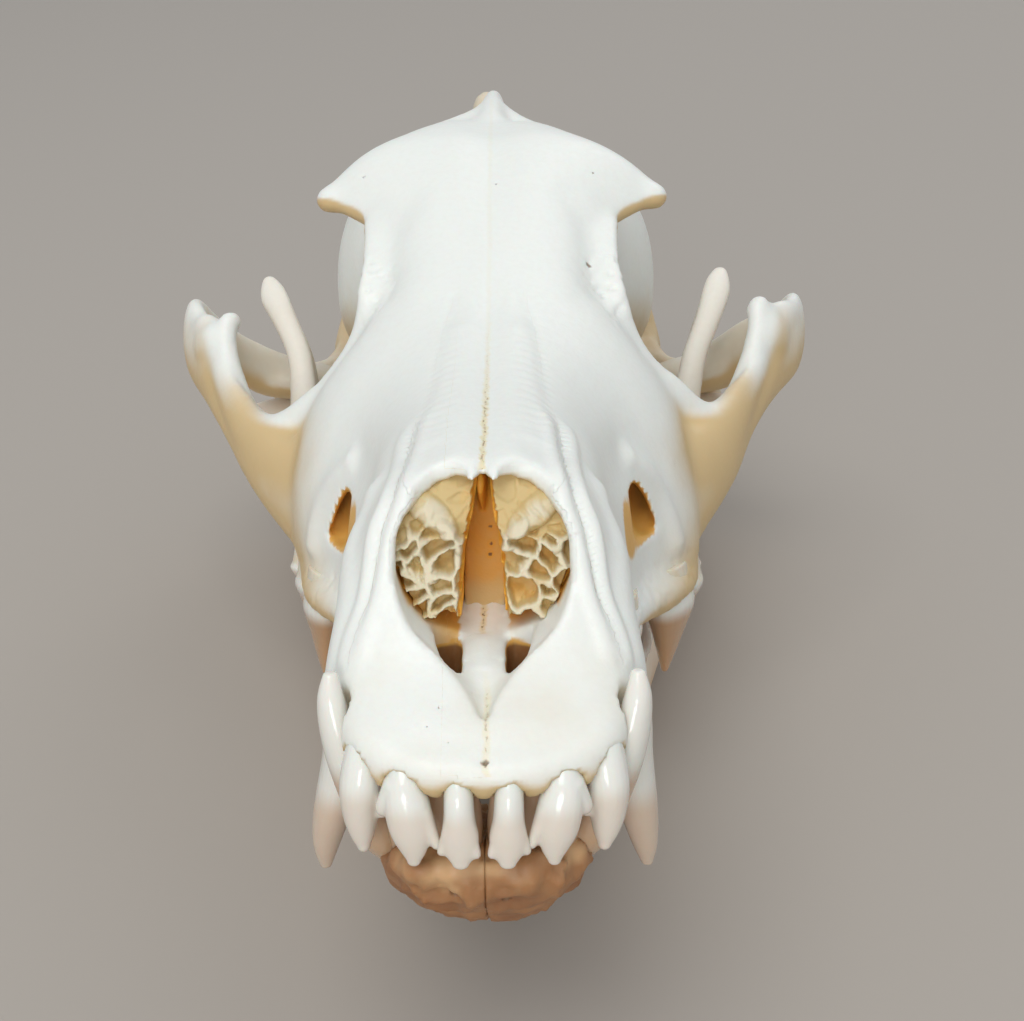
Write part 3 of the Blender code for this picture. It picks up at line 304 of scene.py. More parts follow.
# Incisors as bars from root to tip, X, Y, Z, half width and half depth: the crown's middle,
# then its side lobes.
UPPER_INCISORS = {
    1: (((2.4, 7.4, 2.4, 0.9, 1), (2.4, 4.9, 1.2, 1.2, 1.4), (2.4, 1.8, 0.1, 1.35, 1.7),
         (2.35, 0.4, -1.8, 1.4, 1.9), (2.3, -0.1, -3.9, 1.5, 1.75), (2.25, -0.5, -5.6, 1.8, 1.4),
         (2.2, -0.8, -7, 1.55, 0.95), (2.2, -1, -8.1, 0.85, 0.55)),
        ((1.6, -0.4, -4.9, 0.85, 1.2), (0.75, -0.8, -7.2, 0.5, 0.6)),
        ((3, -0.3, -4.8, 0.85, 1.2), (3.95, -0.5, -7, 0.5, 0.6))),
    2: (((6.6, 9.2, 3.4, 0.9, 1.1), (7, 6.8, 1.9, 1.3, 1.6), (7.3, 3.5, 0.8, 1.55, 1.9),
         (7.4, 1.6, -1.3, 1.9, 2.1), (7.1, 0.8, -3.4, 2.2, 1.9), (6.75, 0.4, -5.6, 2, 1.5),
         (6.6, 0.2, -7.2, 1.3, 1), (6.6, 0.1, -8.2, 0.7, 0.6)),
        ((5.8, 0.6, -3.6, 1, 1.3), (4.45, 0, -6.6, 0.5, 0.6)),
        ((8.4, 1.4, -1, 1, 1.5), (9.4, 1.7, -3.5, 0.85, 1.1))),
    3: (((10.2, 12.6, 4.4, 1, 1.2), (10.6, 9.6, 3, 1.5, 1.9), (11.2, 5.8, 1.6, 1.75, 2.1),
         (11.5, 4.8, -0.4, 2.05, 2.5), (11.8, 4.2, -2.8, 2.05, 2.4), (11.8, 3.9, -5.2, 1.75, 1.9),
         (11.7, 3.7, -7, 1.25, 1.3), (11.6, 3.6, -8.2, 0.7, 0.8)),
        ((10.8, 4, -2.4, 1, 1.6), (9.75, 3.5, -4.8, 0.6, 0.8))),
}
UPPER_CANINE = (
    (12.2, 23, 9, 3.4, 2.4), (13.8, 18, 1, 4.6, 3), (14.7, 16.9, -4.5, 4, 2.6),
    (15.8, 17, -10, 2.9, 2.1), (16.5, 18, -14.6, 1.7, 1.4), (16.8, 18.8, -17.6, 0.6, 0.55),
)
UPPER_CANINE_HEADING = 80.0
LOWER_CANINE = (
    (8.8, 14, -14.6, 2, 1.6), (10.4, 11.8, -11, 3.8, 2.6), (12.4, 10.2, -5.4, 3.2, 2.4),
    (14, 9.3, 0, 2.5, 2), (14.9, 9.1, 4.4, 1.7, 1.4), (15, 9.3, 7.2, 0.7, 0.65),
)
LOWER_CANINE_HEADING = 75.0
LOWER_INCISORS = ((1.75, 4.6, -3.2, 1.55), (4.9, 5.2, -3.4, 1.55), (8.2, 7, -3.2, 1.75))
LOWER_INCISOR_ROOT = ((5, -15, 0.7, 1.4), (1.8, -10.6, 0.85, 1.8), (0.8, -6.6, 1, 1.6))

# Cheek teeth as cusps: X, Y of the middle, half length, half breadth, gum Z, tip Z and
# how far behind the middle the tip lies.
UPPER_CHEEK_TEETH = (
    ((12.9, 27.6, 2.8, 1.7, -0.4, -4.6, -0.3),),
    ((13.6, 38.6, 5.2, 2.1, -0.5, -7, -0.6), (13.9, 42.2, 1.8, 1.5, -0.5, -3.2, 0.2)),
    ((16.2, 51.6, 6, 2.3, -0.8, -9, -0.8), (17.2, 56, 2, 1.7, -0.8, -4.2, 0.2)),
    ((22.9, 70, 7.2, 3.2, -1.4, -14, 0.9), (25.8, 78.2, 4.8, 2.7, -1.6, -9, 0.6),
     (19.6, 64.6, 2.6, 2.6, -1, -4.8, 0)),
    ((26.2, 84.6, 3.2, 3.2, -1.6, -7, 0), (26.2, 89, 3, 3, -1.6, -6.2, 0),
     (19.4, 86.4, 4.6, 4.6, -1.4, -4.6, 0)),
    ((22.6, 94.4, 3, 3, -1, -4.4, 0), (18.6, 94.8, 2.8, 3.4, -0.8, -3.4, 0)),
)
LOWER_CHEEK_TEETH = (
    ((10.2, 21.6, 2.1, 1.5, -11.6, -8.4, -0.2),),
    ((10.9, 32, 4.4, 1.9, -12.2, -7, -0.5), (11.3, 35.2, 1.6, 1.3, -12.2, -9.6, 0.2)),
    ((12.2, 44.6, 5.2, 2.1, -12.8, -6.8, -0.5), (12.7, 48.6, 1.8, 1.5, -12.8, -9.4, 0.2)),
    ((14.2, 57.4, 5.8, 2.4, -13.2, -5.8, -0.3), (15, 61.6, 2, 1.7, -13.2, -8.4, 0.2)),
    ((17.4, 69.6, 4.8, 2.5, -13.4, -5.6, 0), (18.6, 75.6, 5, 2.8, -13.2, -2.4, 0.4),
     (20, 82.6, 3.9, 3, -12, -7.4, 0)),
    ((22.4, 90.4, 4.2, 2.7, -10, -5.8, 0),),
    ((24.4, 97, 2.1, 1.9, -7.8, -4.8, 0),),
)
# Which of the upper cheek teeth is the large cutting one.
CARNASSIAL = 3
# How far a cheek tooth reaches into the bone, and where the gum line of lower front teeth is.
ROOT_DEPTH = 3.2
LOWER_CANINE_GUM = -10.0
LOWER_INCISOR_GUM = -11
# How brown the teeth are at the neck and towards the tip, and where along the crown it changes: at the
# tips of the upper front and cheek teeth this is painted shade and glow, on the carnassial and the lower
# incisors partly stain and partly painted shade, and on the lower canines stain at the neck.
INCISOR_TIP_SHADE = (0.0, 0.3, 0.4)
CANINE_TIP_SHADE = (0.05, 0.6, 0.4)
CHEEK_TIP_SHADE = (0.05, 0.4, 0.1)
CARNASSIAL_STAIN_AND_SHADE = (0.05, 1.0, 0.14)
LOWER_INCISOR_STAIN_AND_SHADE = (0.9, 0.8, 0.4)
LOWER_CANINE_STAINS = (0.8, 0.05, 0.3)

# The septum as a bar, as in the part: it shows where the skull lies on the table.
SEPTUM = (
    (0, 20, 14, 0.55, 5), (0, 30, 15.6, 0.55, 6.4), (0, 45, 15.8, 0.55, 6.8), (0, 58, 16, 0.55, 6.6),
)
# The upper plate of the septum that is drawn.
SEPTUM_PLATE = ((-0.35, 24.5, 22.4, 0.4, 1.2), (-0.25, 30, 21.4, 0.45, 3.2), (-0.2, 38, 21, 0.5, 4.2))
# The vomer's trough rises to the back like a ramp: Y, Z, half width, depth of its groove.
VOMER = (
    (22, 7, 2.1, -0.2), (24.4, 8.8, 2.2, -0.15), (26.4, 11, 2.25, 0.1), (28, 13.6, 2.2, 0.3),
    (29.4, 17.8, 1.8, 0.35), (30.4, 22.2, 1.4, 0.3), (31, 25, 1.1, 0.3),
)
VOMER_THICK = 2.2
# The vomer's small holes as X and Z, drawn only as dark spots of painted shade.
VOMER_HOLES = ((0.6, 14.9), (0.5, 13.8), (0.55, 16.6), (0.9, 21.2))
# The net of scrolls on each side: the step between its points, how high it reaches, where its
# inner edge lies at each height, how far its outer edge goes into the bone, the size of its
# cells, how thick their walls are and how deep they are cupped, and its front and back.
SCROLL_STEP = 0.11
SCROLL_TALL = (8.6, 24.7)
SCROLL_INNER = ((8, 2.3), (12, 2.2), (14.5, 2.05), (17.5, 1.6), (20, 1.05), (22.5, 0.7), (26, 0.6))
SCROLL_SET_IN = 0.35
SCROLL_CELL = 2.6
SCROLL_WALL = 0.72
SCROLL_CUP = 2.6
SCROLL_FRONT = ((8, 15.5), (10, 16.2), (14, 17.4), (18, 19.2), (22, 21.4), (26, 24))
SCROLL_BACK = 44.0
# Smooth lobes of the upper scroll: X, Z, half sizes along and across, slant in degrees, swell.
SCROLL_LOBES = (
    (5.4, 20.4, 3.6, 1.5, 38, 1.3), (3.2, 18.2, 2.2, 0.9, 52, 0.9), (7.2, 17.6, 1.8, 1.2, 20, 0.7),
)
# The height above which the net gives way to smooth lobes, and the slant of its cells.
SCROLL_FOLDS = 18.2
SCROLL_SLANT = 35

# The furrow that runs below the eye socket.
EYE_FURROW = (
    (27.5, 85.5, 17), (31, 88.5, 14.4), (35.2, 92.5, 13.2), (38.8, 97, 15.8), (41.4, 101.6, 20.4),
    (42.6, 105.4, 25.2), (43, 108, 28.6),
)
# Soft furrows and ridges on both sides: a line of points, how wide it is, and its rise.
RELIEF = (
    (EYE_FURROW, 1.8, -0.4),
    (((18.4, 60.8, 17.6), (21.2, 63.8, 14.4), (22.9, 65.4, 11.6), (23.8, 66.5, 8.6), (24.4, 67.5, 5)),
     1.9, 1.3),
    (((12, 96, 50), (15.5, 90, 42.5), (15.2, 84, 37)), 3, -0.5),
    (((5.4, 30, 26), (5, 50, 29), (4.4, 66, 33)), 2.2, 0.35),
    (((14.2, 30, 17), (15.6, 46, 18), (18, 60, 18)), 4, -0.7),
)

# The hollow below the eye, where the cheek bone starts: its beige is partly the bone's own yellowing and
# partly painted shade.
CHEEK_RECESS = ((27, 81, 14), (31.5, 86, 14.6), (36, 92.5, 13.4), (40, 98, 15.4))

# Seams between the bones as points on the skull, drawn on both sides.
NASAL_SEAM = (
    (7.4, 18, 21.6), (7.2, 31.5, 25), (6.6, 54, 28.8), (5.8, 67.5, 33), (5, 73, 35.6), (4.6, 76, 37.4),
)
PREMAXILLA_SEAM = (
    (7.2, 43, 26), (8, 31, 24.3), (9.1, 21, 22.3), (10.5, 18, 18.9), (11.4, 16.3, 16.1),
    (12.2, 14.7, 13), (12.8, 13.4, 9.6), (13, 11.4, 6),
)

# How the real skull is not quite even: a place, how far around it the bone follows, and its shift.
NUDGES = (
    ((0, 188, 62), 8, (-2, 0, 0)), ((4, 126, 60), 5, (0, 0, -0.6)), ((-13, 118, 57), 8, (0, 0, 0.5)),
    ((-19, 109, 52), 7, (0, 0, 0.4)), ((22, 109, 49), 6, (0, 0, 0.3)),
    ((40.5, 108, 31.5), 4, (0.4, 0, 1.3)), ((-40.5, 108, 31.5), 4, (0.6, 0, -0.6)),
    ((-45.5, 113, 31), 4, (0.9, 0, -1.1)), ((43, 100, 18), 14, (-1.3, 0, 0)),
    ((-43, 98, 17), 13, (-0.1, 0, 0)), ((-34, 95, 18), 6, (0, 0, -1.2)),
    ((-25, 87, 23), 6, (-0.3, 0, -1.1)), ((26, 88, 21), 6, (0, 0, 0.9)),
    ((42, 137, 22), 9, (0, 0, 2.4)), ((-21, 85, 30), 6, (2, 0, 0)), ((22.5, 85, 30), 6, (-1.2, 0, 0)),
    ((14.5, 17, 12), 6, (-1.1, 0, 0)), ((-14.5, 17, 12), 6, (1.1, 0, 0)),
    ((12.5, 38, 20), 9, (1, 0, 0.3)), ((-12.5, 38, 20), 9, (-1, 0, 0.3)),
    ((0, 18, 15), 10, (-0.25, 0, 0)), ((19, 62, 10), 5, (0, 0, 0.8)), ((-19, 62, 10), 5, (0, 0, -0.6)),
    ((27, 71, -4), 10, (0.9, 0, 0)), ((-28, 75, -1), 9, (1.1, 0, 0)),
    ((-36.5, 130, 33), 5, (0, 0, -0.8)), ((-33, 123, 21), 9, (1.2, 0, 0)),
    ((34, 127, 24), 8, (0.4, 0, 0)), ((9, 8, -12), 7, (-0.5, 0, 0)),
    ((-17, 18.5, -15), 6, (-0.5, 0, 0)), ((-17, 17, -3), 6, (0.4, 0, 0)),
    ((17, 18, -8), 7, (-0.3, 0, 0)),
)

# Small holes as point and radius, each on the side where it is, in the cranium and the jaw.
HOLES = (
    ((-0.9, 8.1, 5.6), 0.35), ((-0.2, 8.9, 5.4), 0.3), ((-4.1, 5, 5.2), 0.3), ((-3.3, 1.6, 3), 0.22),
    ((-5.4, 3.1, 3.9), 0.22), ((0.15, -0.1, 1.6), 0.5), ((9.7, 26.3, 22.4), 0.25),
    ((24.3, 71, 14.7), 0.3), ((-18.7, 104.5, 50.9), 0.3), ((0.9, 97.4, 51), 0.3),
    ((14.9, 102.6, 51.4), 0.25), ((10.9, 95.9, 48.1), 0.2), ((13.8, 88.1, 39.6), 0.6),
    ((15.8, 86.1, 37.5), 0.4), ((15.4, 82.3, 35.5), 0.4), ((-16.8, 84.8, 36.6), 0.45),
    ((-17.6, 84, 35), 0.3), ((43.2, 110, 28.6), 0.4), ((-43.2, 110, 28.6), 0.9),
)
CHIN_HOLES = (
    ((-3, 3, -13.7), 0.8), ((2.1, 3.4, -14), 0.6), ((8.6, 20, -17), 0.7), ((-8.6, 20, -17), 0.7),
    ((11.4, 30, -19.5), 0.9), ((-11.4, 30, -19.5), 0.9),
)

# The photographer's place in the skull's frame, and the lens in pixels of a 1024 wide frame.
CAMERA_PLACE = (3.299, -142.063, 58.792)
CAMERA_YAW, CAMERA_PITCH, CAMERA_ROLL = -0.170, 13.271, -0.581
FRAME_WIDTH = 1024
LENS_PIXELS = 1647.32
SENSOR = 36

# Colours: of bone from white to deep brown, whose beige, honey and deep brown are mostly painted shade
# and glow, of what marks it, and of the rest.
BONE_TONES = ((0.81, 0.83, 0.785), (0.63, 0.46, 0.23), (0.70, 0.39, 0.085), (0.22, 0.09, 0.035))
# The jaw's tones are darker and warmer: partly its own tone and partly painted shade below the skull.
SHADED_JAW_TONES = ((0.84, 0.80, 0.71), (0.64, 0.39, 0.19), (0.38, 0.18, 0.07), (0.28, 0.12, 0.045))
SEAM_TONE = (0.74, 0.68, 0.50)
SAND_TONE = (0.80, 0.69, 0.42)
SPECK_TONE = (0.36, 0.22, 0.08)
# The tone of painted shade in the small holes.
HOLE_SHADE_TONE = (0.2, 0.11, 0.05)
DULL_TONE = (0.55, 0.47, 0.36)
# The thin bone in the nose: pale at its edges, honey and deep brown further in as painted shade and
# glow, and dark painted shade in its holes.
SCROLL_TONES = ((0.68, 0.61, 0.44), (0.60, 0.45, 0.21), (0.76, 0.39, 0.055), (0.20, 0.10, 0.04))
# Enamel at the neck, where its beige is painted shade at the gum, on the crown, and brown for stain and
# for painted shade.
ENAMEL_TONES = ((0.74, 0.64, 0.46), (0.77, 0.77, 0.71), (0.52, 0.31, 0.16))
TABLE_TONE = (0.40, 0.365, 0.325, 1)
SKY_TONE = (0.93, 0.96, 1.0, 1)
SKY_LIGHT = 0.62
# Lights as name, place, size, watts and colour, and what they all point at.
LIGHTS = (
    ("key", (-0.2, -0.5, 1.0), 0.7, 4.1, (1.0, 0.99, 0.97)),
    ("fill", (-0.12, -0.95, 0.34), 0.4, 2.6, (0.98, 0.985, 1.0)),
    ("back", (0.4, 0.8, 0.8), 0.7, 1.6, (1.0, 1.0, 1.0)),
)
LIGHTS_AIM = (0, -0.02, 0.04)


def outline(points):
    """Give the smooth function through (place, size) points that never overshoots them."""
    slopes = [(b[1] - a[1]) / (b[0] - a[0]) for a, b in zip(points, points[1:])]
    inner = [2 * m * n / (m + n) if m * n > 0 else 0.0 for m, n in zip(slopes, slopes[1:])]
    tangents = [slopes[0], *inner, slopes[-1]]

    def size(place):
        place = min(max(place, points[0][0]), points[-1][0])
        i = max(k for k in range(len(slopes)) if points[k][0] <= place)
        (start, low), (end, high) = points[i], points[i + 1]
        span = end - start
        t = (place - start) / span
        rise = low + (high - low) * t * t * (3 - 2 * t)
        lean = span * t * (1 - t) * (tangents[i] * (1 - t) - tangents[i + 1] * t)
        return rise + lean

    return size


def spread(first, last, step):
    """Places from first to last, about one step apart."""
    count = max(2, round((last - first) / step) + 1)
    return [first + (last - first) * i / (count - 1) for i in range(count)]


def flow(rows, steps=6):
    """Rows of numbers drawn out into a smooth run through them all."""
    out = []
    for i in range(len(rows) - 1):
        before = rows[max(i - 1, 0)]
        a, b = rows[i], rows[i + 1]
        after = rows[min(i + 2, len(rows) - 1)]
        for k in range(steps):
            t = k / steps
            out.append(tuple(
                q + 0.5 * t * (r - p + t * (2 * p - 5 * q + 4 * r - s + t * (3 * (q - r) + s - p)))
                for p, q, r, s in zip(before, a, b, after)
            ))
    out.append(tuple(rows[-1]))
    return out


def power(value, exponent):
    return math.copysign(abs(value) ** exponent, value)


def around(count=RING, shift=0):
    """The cosine and sine of count even turns; a shift of 1 moves them on by half a step."""
    turns = (math.pi * (2 * k + shift) / count for k in range(count))
    return [(math.cos(turn), math.sin(turn)) for turn in turns]


def sizes_along(outlines, step):
    """Places along a table of outlines, about one step apart, each with its sizes."""
    runs = {key: outline(points) for key, points in outlines.items()}
    first = min(points[0][0] for points in outlines.values())
    last = max(points[-1][0] for points in outlines.values())
    for place in spread(first, last, step):
        yield place, {key: run(place) for key, run in runs.items()}


def new_object(name, mesh_data):
    """Close a bmesh into an object with its faces pointing out."""
    bmesh.ops.recalc_face_normals(mesh_data, faces=mesh_data.faces)
    mesh = bpy.data.meshes.new(name)
    mesh_data.to_mesh(mesh)
    mesh_data.free()
    piece = bpy.data.objects.new(name, mesh)
    bpy.context.scene.collection.objects.link(piece)
    return piece


def loft(name, rings):
    """Skin closed rings of points, with both ends capped."""
    mesh = bmesh.new()
    loops = [[mesh.verts.new(point) for point in ring] for ring in rings]
    for near, far in zip(loops, loops[1:]):
        for i, corner in enumerate(near):
            j = (i + 1) % len(near)
            mesh.faces.new((corner, near[j], far[j], far[i]))
    for end in (loops[0], loops[-1]):
        mesh.faces.new(end)
    return new_object(name, mesh)


def skin(name, rows, point, count=RING, shift=0):
    """Skin one ring a row; point turns a cosine, a sine and the row into a place."""
    turns = around(count, shift)
    return loft(name, [[point(c, s, *row) for c, s in turns] for row in rows])


def mass(name, outlines):
    """A form drawn along Y: an oval at each place, flatter as its squareness grows."""
    def point(c, s, y, at):
        tall, bend = at["top"] - at["level"], 2 / at["squareness"]
        if s < 0:
            tall, bend = at["level"] - at["bottom"], 2 / at["below"]
        return at["half_width"] * power(c, bend), y, at["level"] + tall * power(s, bend)

    return skin(name, sizes_along(outlines, STEP), point)


def prism(name, ring, heights):
    """An upright block with this outline from above."""
    return loft(name, [[(x, y, z) for x, y in ring] for z in heights])


def bar(name, rows, side=1, up=(0, 0, 1), sides=20, steps=6):
    """A bar with rounded ends along rows of X, Y, Z, half thickness and half height."""
    run = flow(rows, steps)
    places = [Vector((side * row[0], row[1], row[2])) for row in run]
    up = Vector(up)
    rings = []
    for i, (place, row) in enumerate(zip(places, run)):
        ahead = (places[min(i + 1, len(run) - 1)] - places[max(i - 1, 0)]).normalized()
        across = ahead.cross(up).normalized()
        rise = across.cross(ahead).normalized()
        ends = {0: (-1, BAR_CAPS[::-1]), len(run) - 1: (1, BAR_CAPS)}
        way, caps = ends.get(i, (0, ()))
        reach = min(row[3], row[4])
        layers = [(way * reach * cap, math.sqrt(1 - cap * cap)) for cap in caps]
        layers.insert(len(layers) if way < 0 else 0, (0, 1))
        for push, size in layers:
            middle = place + ahead * push
            rings.append([
                middle + across * row[3] * size * c + rise * row[4] * size * s
                for c, s in around(sides)
            ])
    return loft(name, rings)


def ball(name, form, side=1, turn=0):
    """An ellipsoid with centre and radii from form, turned about Z."""
    (x, y, z), radii = form
    mesh = bmesh.new()
    bmesh.ops.create_uvsphere(
        mesh, u_segments=BALL_SEGMENTS, v_segments=BALL_SEGMENTS // 2, radius=1
    )
    place = Matrix.Translation((side * x, y, z))
    place = place @ Matrix.Rotation(math.radians(side * turn), 4, "Z")
    bmesh.ops.transform(mesh, matrix=place @ Matrix.Diagonal((*radii, 1)), verts=mesh.verts)
    return new_object(name, mesh)


def modify(piece, kind, **settings):
    """Keep what one modifier makes of the piece as its own mesh."""
    modifier = piece.modifiers.new("Change", kind)
    for key, value in settings.items():
        setattr(modifier, key, value)
    graph = bpy.context.evaluated_depsgraph_get()
    made = bpy.data.meshes.new_from_object(piece.evaluated_get(graph))
    piece.modifiers.clear()
    old = piece.data
    piece.data = made
    bpy.data.meshes.remove(old)


def join(name, pieces):
    """Put the pieces' meshes together in one object and drop the pieces."""
    mesh = bmesh.new()
    for piece in pieces:
        mesh.from_mesh(piece.data)
        bpy.data.objects.remove(piece)
    return new_object(name, mesh)


def remesh(piece, size):
    modify(piece, "REMESH", mode="VOXEL", voxel_size=size)


def swell(piece, amount):
    modify(piece, "DISPLACE", direction="NORMAL", mid_level=0, strength=amount)


def smooth(piece, width, step):
    """Smooth over about this width, on a mesh with this step between its points."""
    modify(piece, "SMOOTH", factor=0.5, iterations=max(1, round((width / step) ** 2)))


def grow_together(piece, fillet, width):
    """Fuse overlapping masses into one skin, with the hollows between them filled."""
    remesh(piece, VOXEL)
    swell(piece, fillet)
    remesh(piece, VOXEL)
    swell(piece, -fillet)
    remesh(piece, VOXEL)
    smooth(piece, width, VOXEL)


def carve(piece, cutters):
    """Take the closed cutters away from the piece and drop them."""
    group = bpy.data.collections.new("Cutters")
    bpy.context.scene.collection.children.link(group)
    for cutter in cutters:
        bpy.context.scene.collection.objects.unlink(cutter)
        group.objects.link(cutter)
    modify(
        piece, "BOOLEAN", operand_type="COLLECTION", collection=group,
        operation="DIFFERENCE", solver="MANIFOLD",
    )
    for cutter in list(group.objects):
        bpy.data.objects.remove(cutter)
    bpy.data.collections.remove(group)


def forehead_mass():
    """The roof between the eyes, out to the tips of the postorbital processes."""
    def point(c, s, y, at):
        rise = at["top"] - at["edge"]
        lift = rise * (1 - abs(c) ** BROW_SQUARENESS) if s > 0 else at["droop"] * s
        return at["half_width"] * c, y, at["edge"] + lift

    return skin("forehead", sizes_along(FOREHEAD, FINE_STEP), point)


def occiput_mass():
    """The back of the skull, from the foramen up to the nuchal crest."""
    def point(c, s, z, at):
        depth = at["half_depth"]
        return at["half_width"] * c, at["back"] - depth + depth * s, z

    return skin("occiput", sizes_along(OCCIPUT, FINE_STEP), point)


def cranium_masses():
    pieces = [
        mass("rostrum", ROSTRUM),
        mass("maxilla_shelf", MAXILLA_SHELF),
        mass("core", CORE),
        mass("braincase", BRAINCASE),
        forehead_mass(),
        occiput_mass(),
        bar("sagittal_crest", SAGITTAL_CREST),
    ]
    for side in (1, -1):
        for name, rows in BARS.items():
            pieces.append(bar(name, rows, side, UPWARDS.get(name, (0, 0, 1))))
        for name, (*form, turn) in BALLS.items():
            pieces.append(ball(name, form, side, turn))
    return pieces


def nasal_hollow():
    """The nasal cavity: the nostril's own outline, wider behind the rim, narrow over the lip."""
    half = outline(NOSTRIL)
    top = outline(ROSTRUM["top"])
    low, high = NOSTRIL[0][0], NOSTRIL[-1][0]

    def point(c, s, y):
        inside = min(1.0, max(0.0, (y - LIP_BACK) / FLOOR_RUN))
        roof = min(top(y) - ROOF_THICKNESS, NASAL_CEILING) if y > 20 else high
        before = max(0.0, LIP_BACK - y)
        floor = low - FLOOR_DROP * inside - LIP_SLOPE * before
        narrow = max(0.04, 1 - before / (LIP_BACK - LIP_FRONT))
        level = 0.5 * (1 + s)
        swollen = 1 + SIDE_SWELL * inside * (1 - level)
        wide = half(low + (high - low) * level) * narrow * swollen
        wide = max(wide * math.sqrt(1 - abs(s) ** 6), 0.2)
        return wide * power(c, 0.12), y, floor + (roof - floor) * level

    rows = [(y,) for y in spread(LIP_FRONT, NASAL_DEPTH, HOLLOW_STEP)]
    return skin("nasal_hollow", rows, point, shift=1)


def fissure(side):
    """One incisive opening from above: a straight back edge, and narrow in front."""
    (front, back, slant), (inner, narrow, outer) = FISSURE
    ring = []
    for t in spread(0, 1, 0.06):
        ring.append((narrow + (outer - narrow) * math.sqrt(t), front + (back - slant - front) * t))
    ring += [(inner, back), (inner, front)]
    return prism("fissure", [(side * x, y) for x, y in ring], FISSURE_REACH)


def infraorbital(side):
    """The canal in the cheek, wide below and narrow above, from its mouth to the eye socket."""
    def point(c, s, x, y, z, wide, tall):
        narrow = 1 + (INFRAORBITAL_TOP_WIDTH - 1) * 0.5 * (1 + s)
        across = wide * narrow * power(c, 0.5)
        return side * (x + across - INFRAORBITAL_LEAN * s), y, z + tall * power(s, 0.8)

    return skin("infraorbital", flow(INFRAORBITAL), point)


def nasal_notch(side):
    """The bay in the front edge of one nasal bone, seen from above."""
    (x, y), (half_x, half_y) = NASAL_NOTCH
    ring = [(side * x + half_x * c, y + half_y * s) for c, s in around()]
    return prism("nasal_notch", ring, NASAL_REACH)


def nasal_gap():
    """The wedge between the front tips of the two nasal bones."""
    half, front, back = NASAL_GAP
    ring = ((-half, front), (half, front), (0.15 * half, back), (-0.15 * half, back))
    return prism("nasal_gap", ring, NASAL_REACH)


def widened(rows, room):
    """The rows of a bar with this much room round it."""
    return [(*row[:3], row[3] + room, row[4] + room) for row in rows]


def cranium_hollows():
    """What is cut out of the bone once its masses have grown together."""
    pieces = [
        nasal_hollow(),
        nasal_gap(),
        ball("foramen_magnum", FORAMEN_MAGNUM),
        ball("choana", CHOANA),
        bar("palate_vault", PALATE_VAULT),
    ]
    for side in (1, -1):
        pieces += [
            fissure(side),
            ball("ear_hole", EAR_HOLE, side),
            ball("orbit", ORBIT, side, -20),
            nasal_notch(side),
            infraorbital(side),
            bar("jaw_socket", JAW_SOCKET, side),
            bar("canine_notch", widened(LOWER_CANINE[1:], CANINE_ROOM), side, up=(1, 0, 0)),
        ]
        for rows, *_lobes in UPPER_INCISORS.values():
            pieces.append(bar("socket", widened(rows[3:], SOCKET_ROOM), side, up=(0, 1, 0)))
    return pieces


def peg(name, rows, side, heading, edge=1.0):
    """A tooth of level rings, turned to its heading and closed at root and tip."""
    along = math.radians(heading)

    def point(c, s, x, y, z, half_along, half_across):
        a = half_along * power(c, edge)
        b = half_across * power(s, edge)
        return (
            side * (x + a * math.cos(along) - b * math.sin(along)),
            y + a * math.sin(along) + b * math.cos(along),
            z,
        )

    return skin(name, rows, point, PEG_SIDES)


def cusp(form, side, heading):
    """One cusp: a swollen base over the gum and hollow flanks up to a blunt tip."""
    x, y, long, broad, gum, tip, back = form
    rise = tip - gum
    rows = (
        (x, y, gum - math.copysign(ROOT_DEPTH, rise), long * 0.8, broad * 0.7),
        (x, y, gum, long * 0.92, broad * 0.88),
        (x, y, gum + 0.2 * rise, long, broad),
        (x, y + 0.5 * back, gum + 0.5 * rise, long * 0.66, broad * 0.68),
        (x, y + 0.8 * back, gum + 0.8 * rise, long * 0.32, broad * 0.36),
        (x, y + back, tip, long * 0.09, broad * 0.13),
    )
    return peg("cusp", flow(rows, 5), side, heading, edge=1.15)


def cheek_heading(y, side_line):
    """How the tooth row runs at this place, in degrees from X."""
    here, there = side_line(y - 3), side_line(y + 3)
    return math.degrees(math.atan2(6, there - here))


def row_line(teeth):
    """The run of a tooth row, X over Y, through each tooth's first cusp."""
    return outline(tuple((form[0][1], form[0][0]) for form in teeth))


def points_of(piece, key="co"):
    """The piece's points, or their normals, as an array."""
    values = np.empty(len(piece.data.vertices) * 3)
    piece.data.vertices.foreach_get(key, values)
    return values.reshape(-1, 3)


def away(points, place, reach):
    """How far each point is from a place, as a share of this reach."""
    return np.linalg.norm(points - np.array(place), axis=1) / reach


def bell(values):
    """1 at 0, falling off softly to both sides."""
    return np.exp(-values ** 2)


def nudge(piece):
    """Shift the piece's points as the real skull is uneven."""
    points = points_of(piece)
    moved = points.copy()
    for place, reach, shift in NUDGES:
        moved += bell(away(points, place, reach))[:, None] * np.array(shift)
    move_points(piece, moved)


def move_points(piece, points):
    piece.data.vertices.foreach_set("co", points.ravel())
    piece.data.update()


def mark(piece, **marks):
    """Keep numbers on the piece's points for its material."""
    for name, values in marks.items():
        layer = piece.data.attributes.new(name, "FLOAT", "POINT")
        layer.data.foreach_set("value", np.asarray(values, dtype=np.float32))


def mark_of(piece, name):
    values = np.empty(len(piece.data.vertices))
    piece.data.attributes[name].data.foreach_get("value", values)
    return values


def grade(low, high, values):
    """0 at low, 1 at high and smooth between them; low may be the larger."""
    t = np.clip((values - low) / (high - low), 0, 1)
    return t * t * (3 - 2 * t)


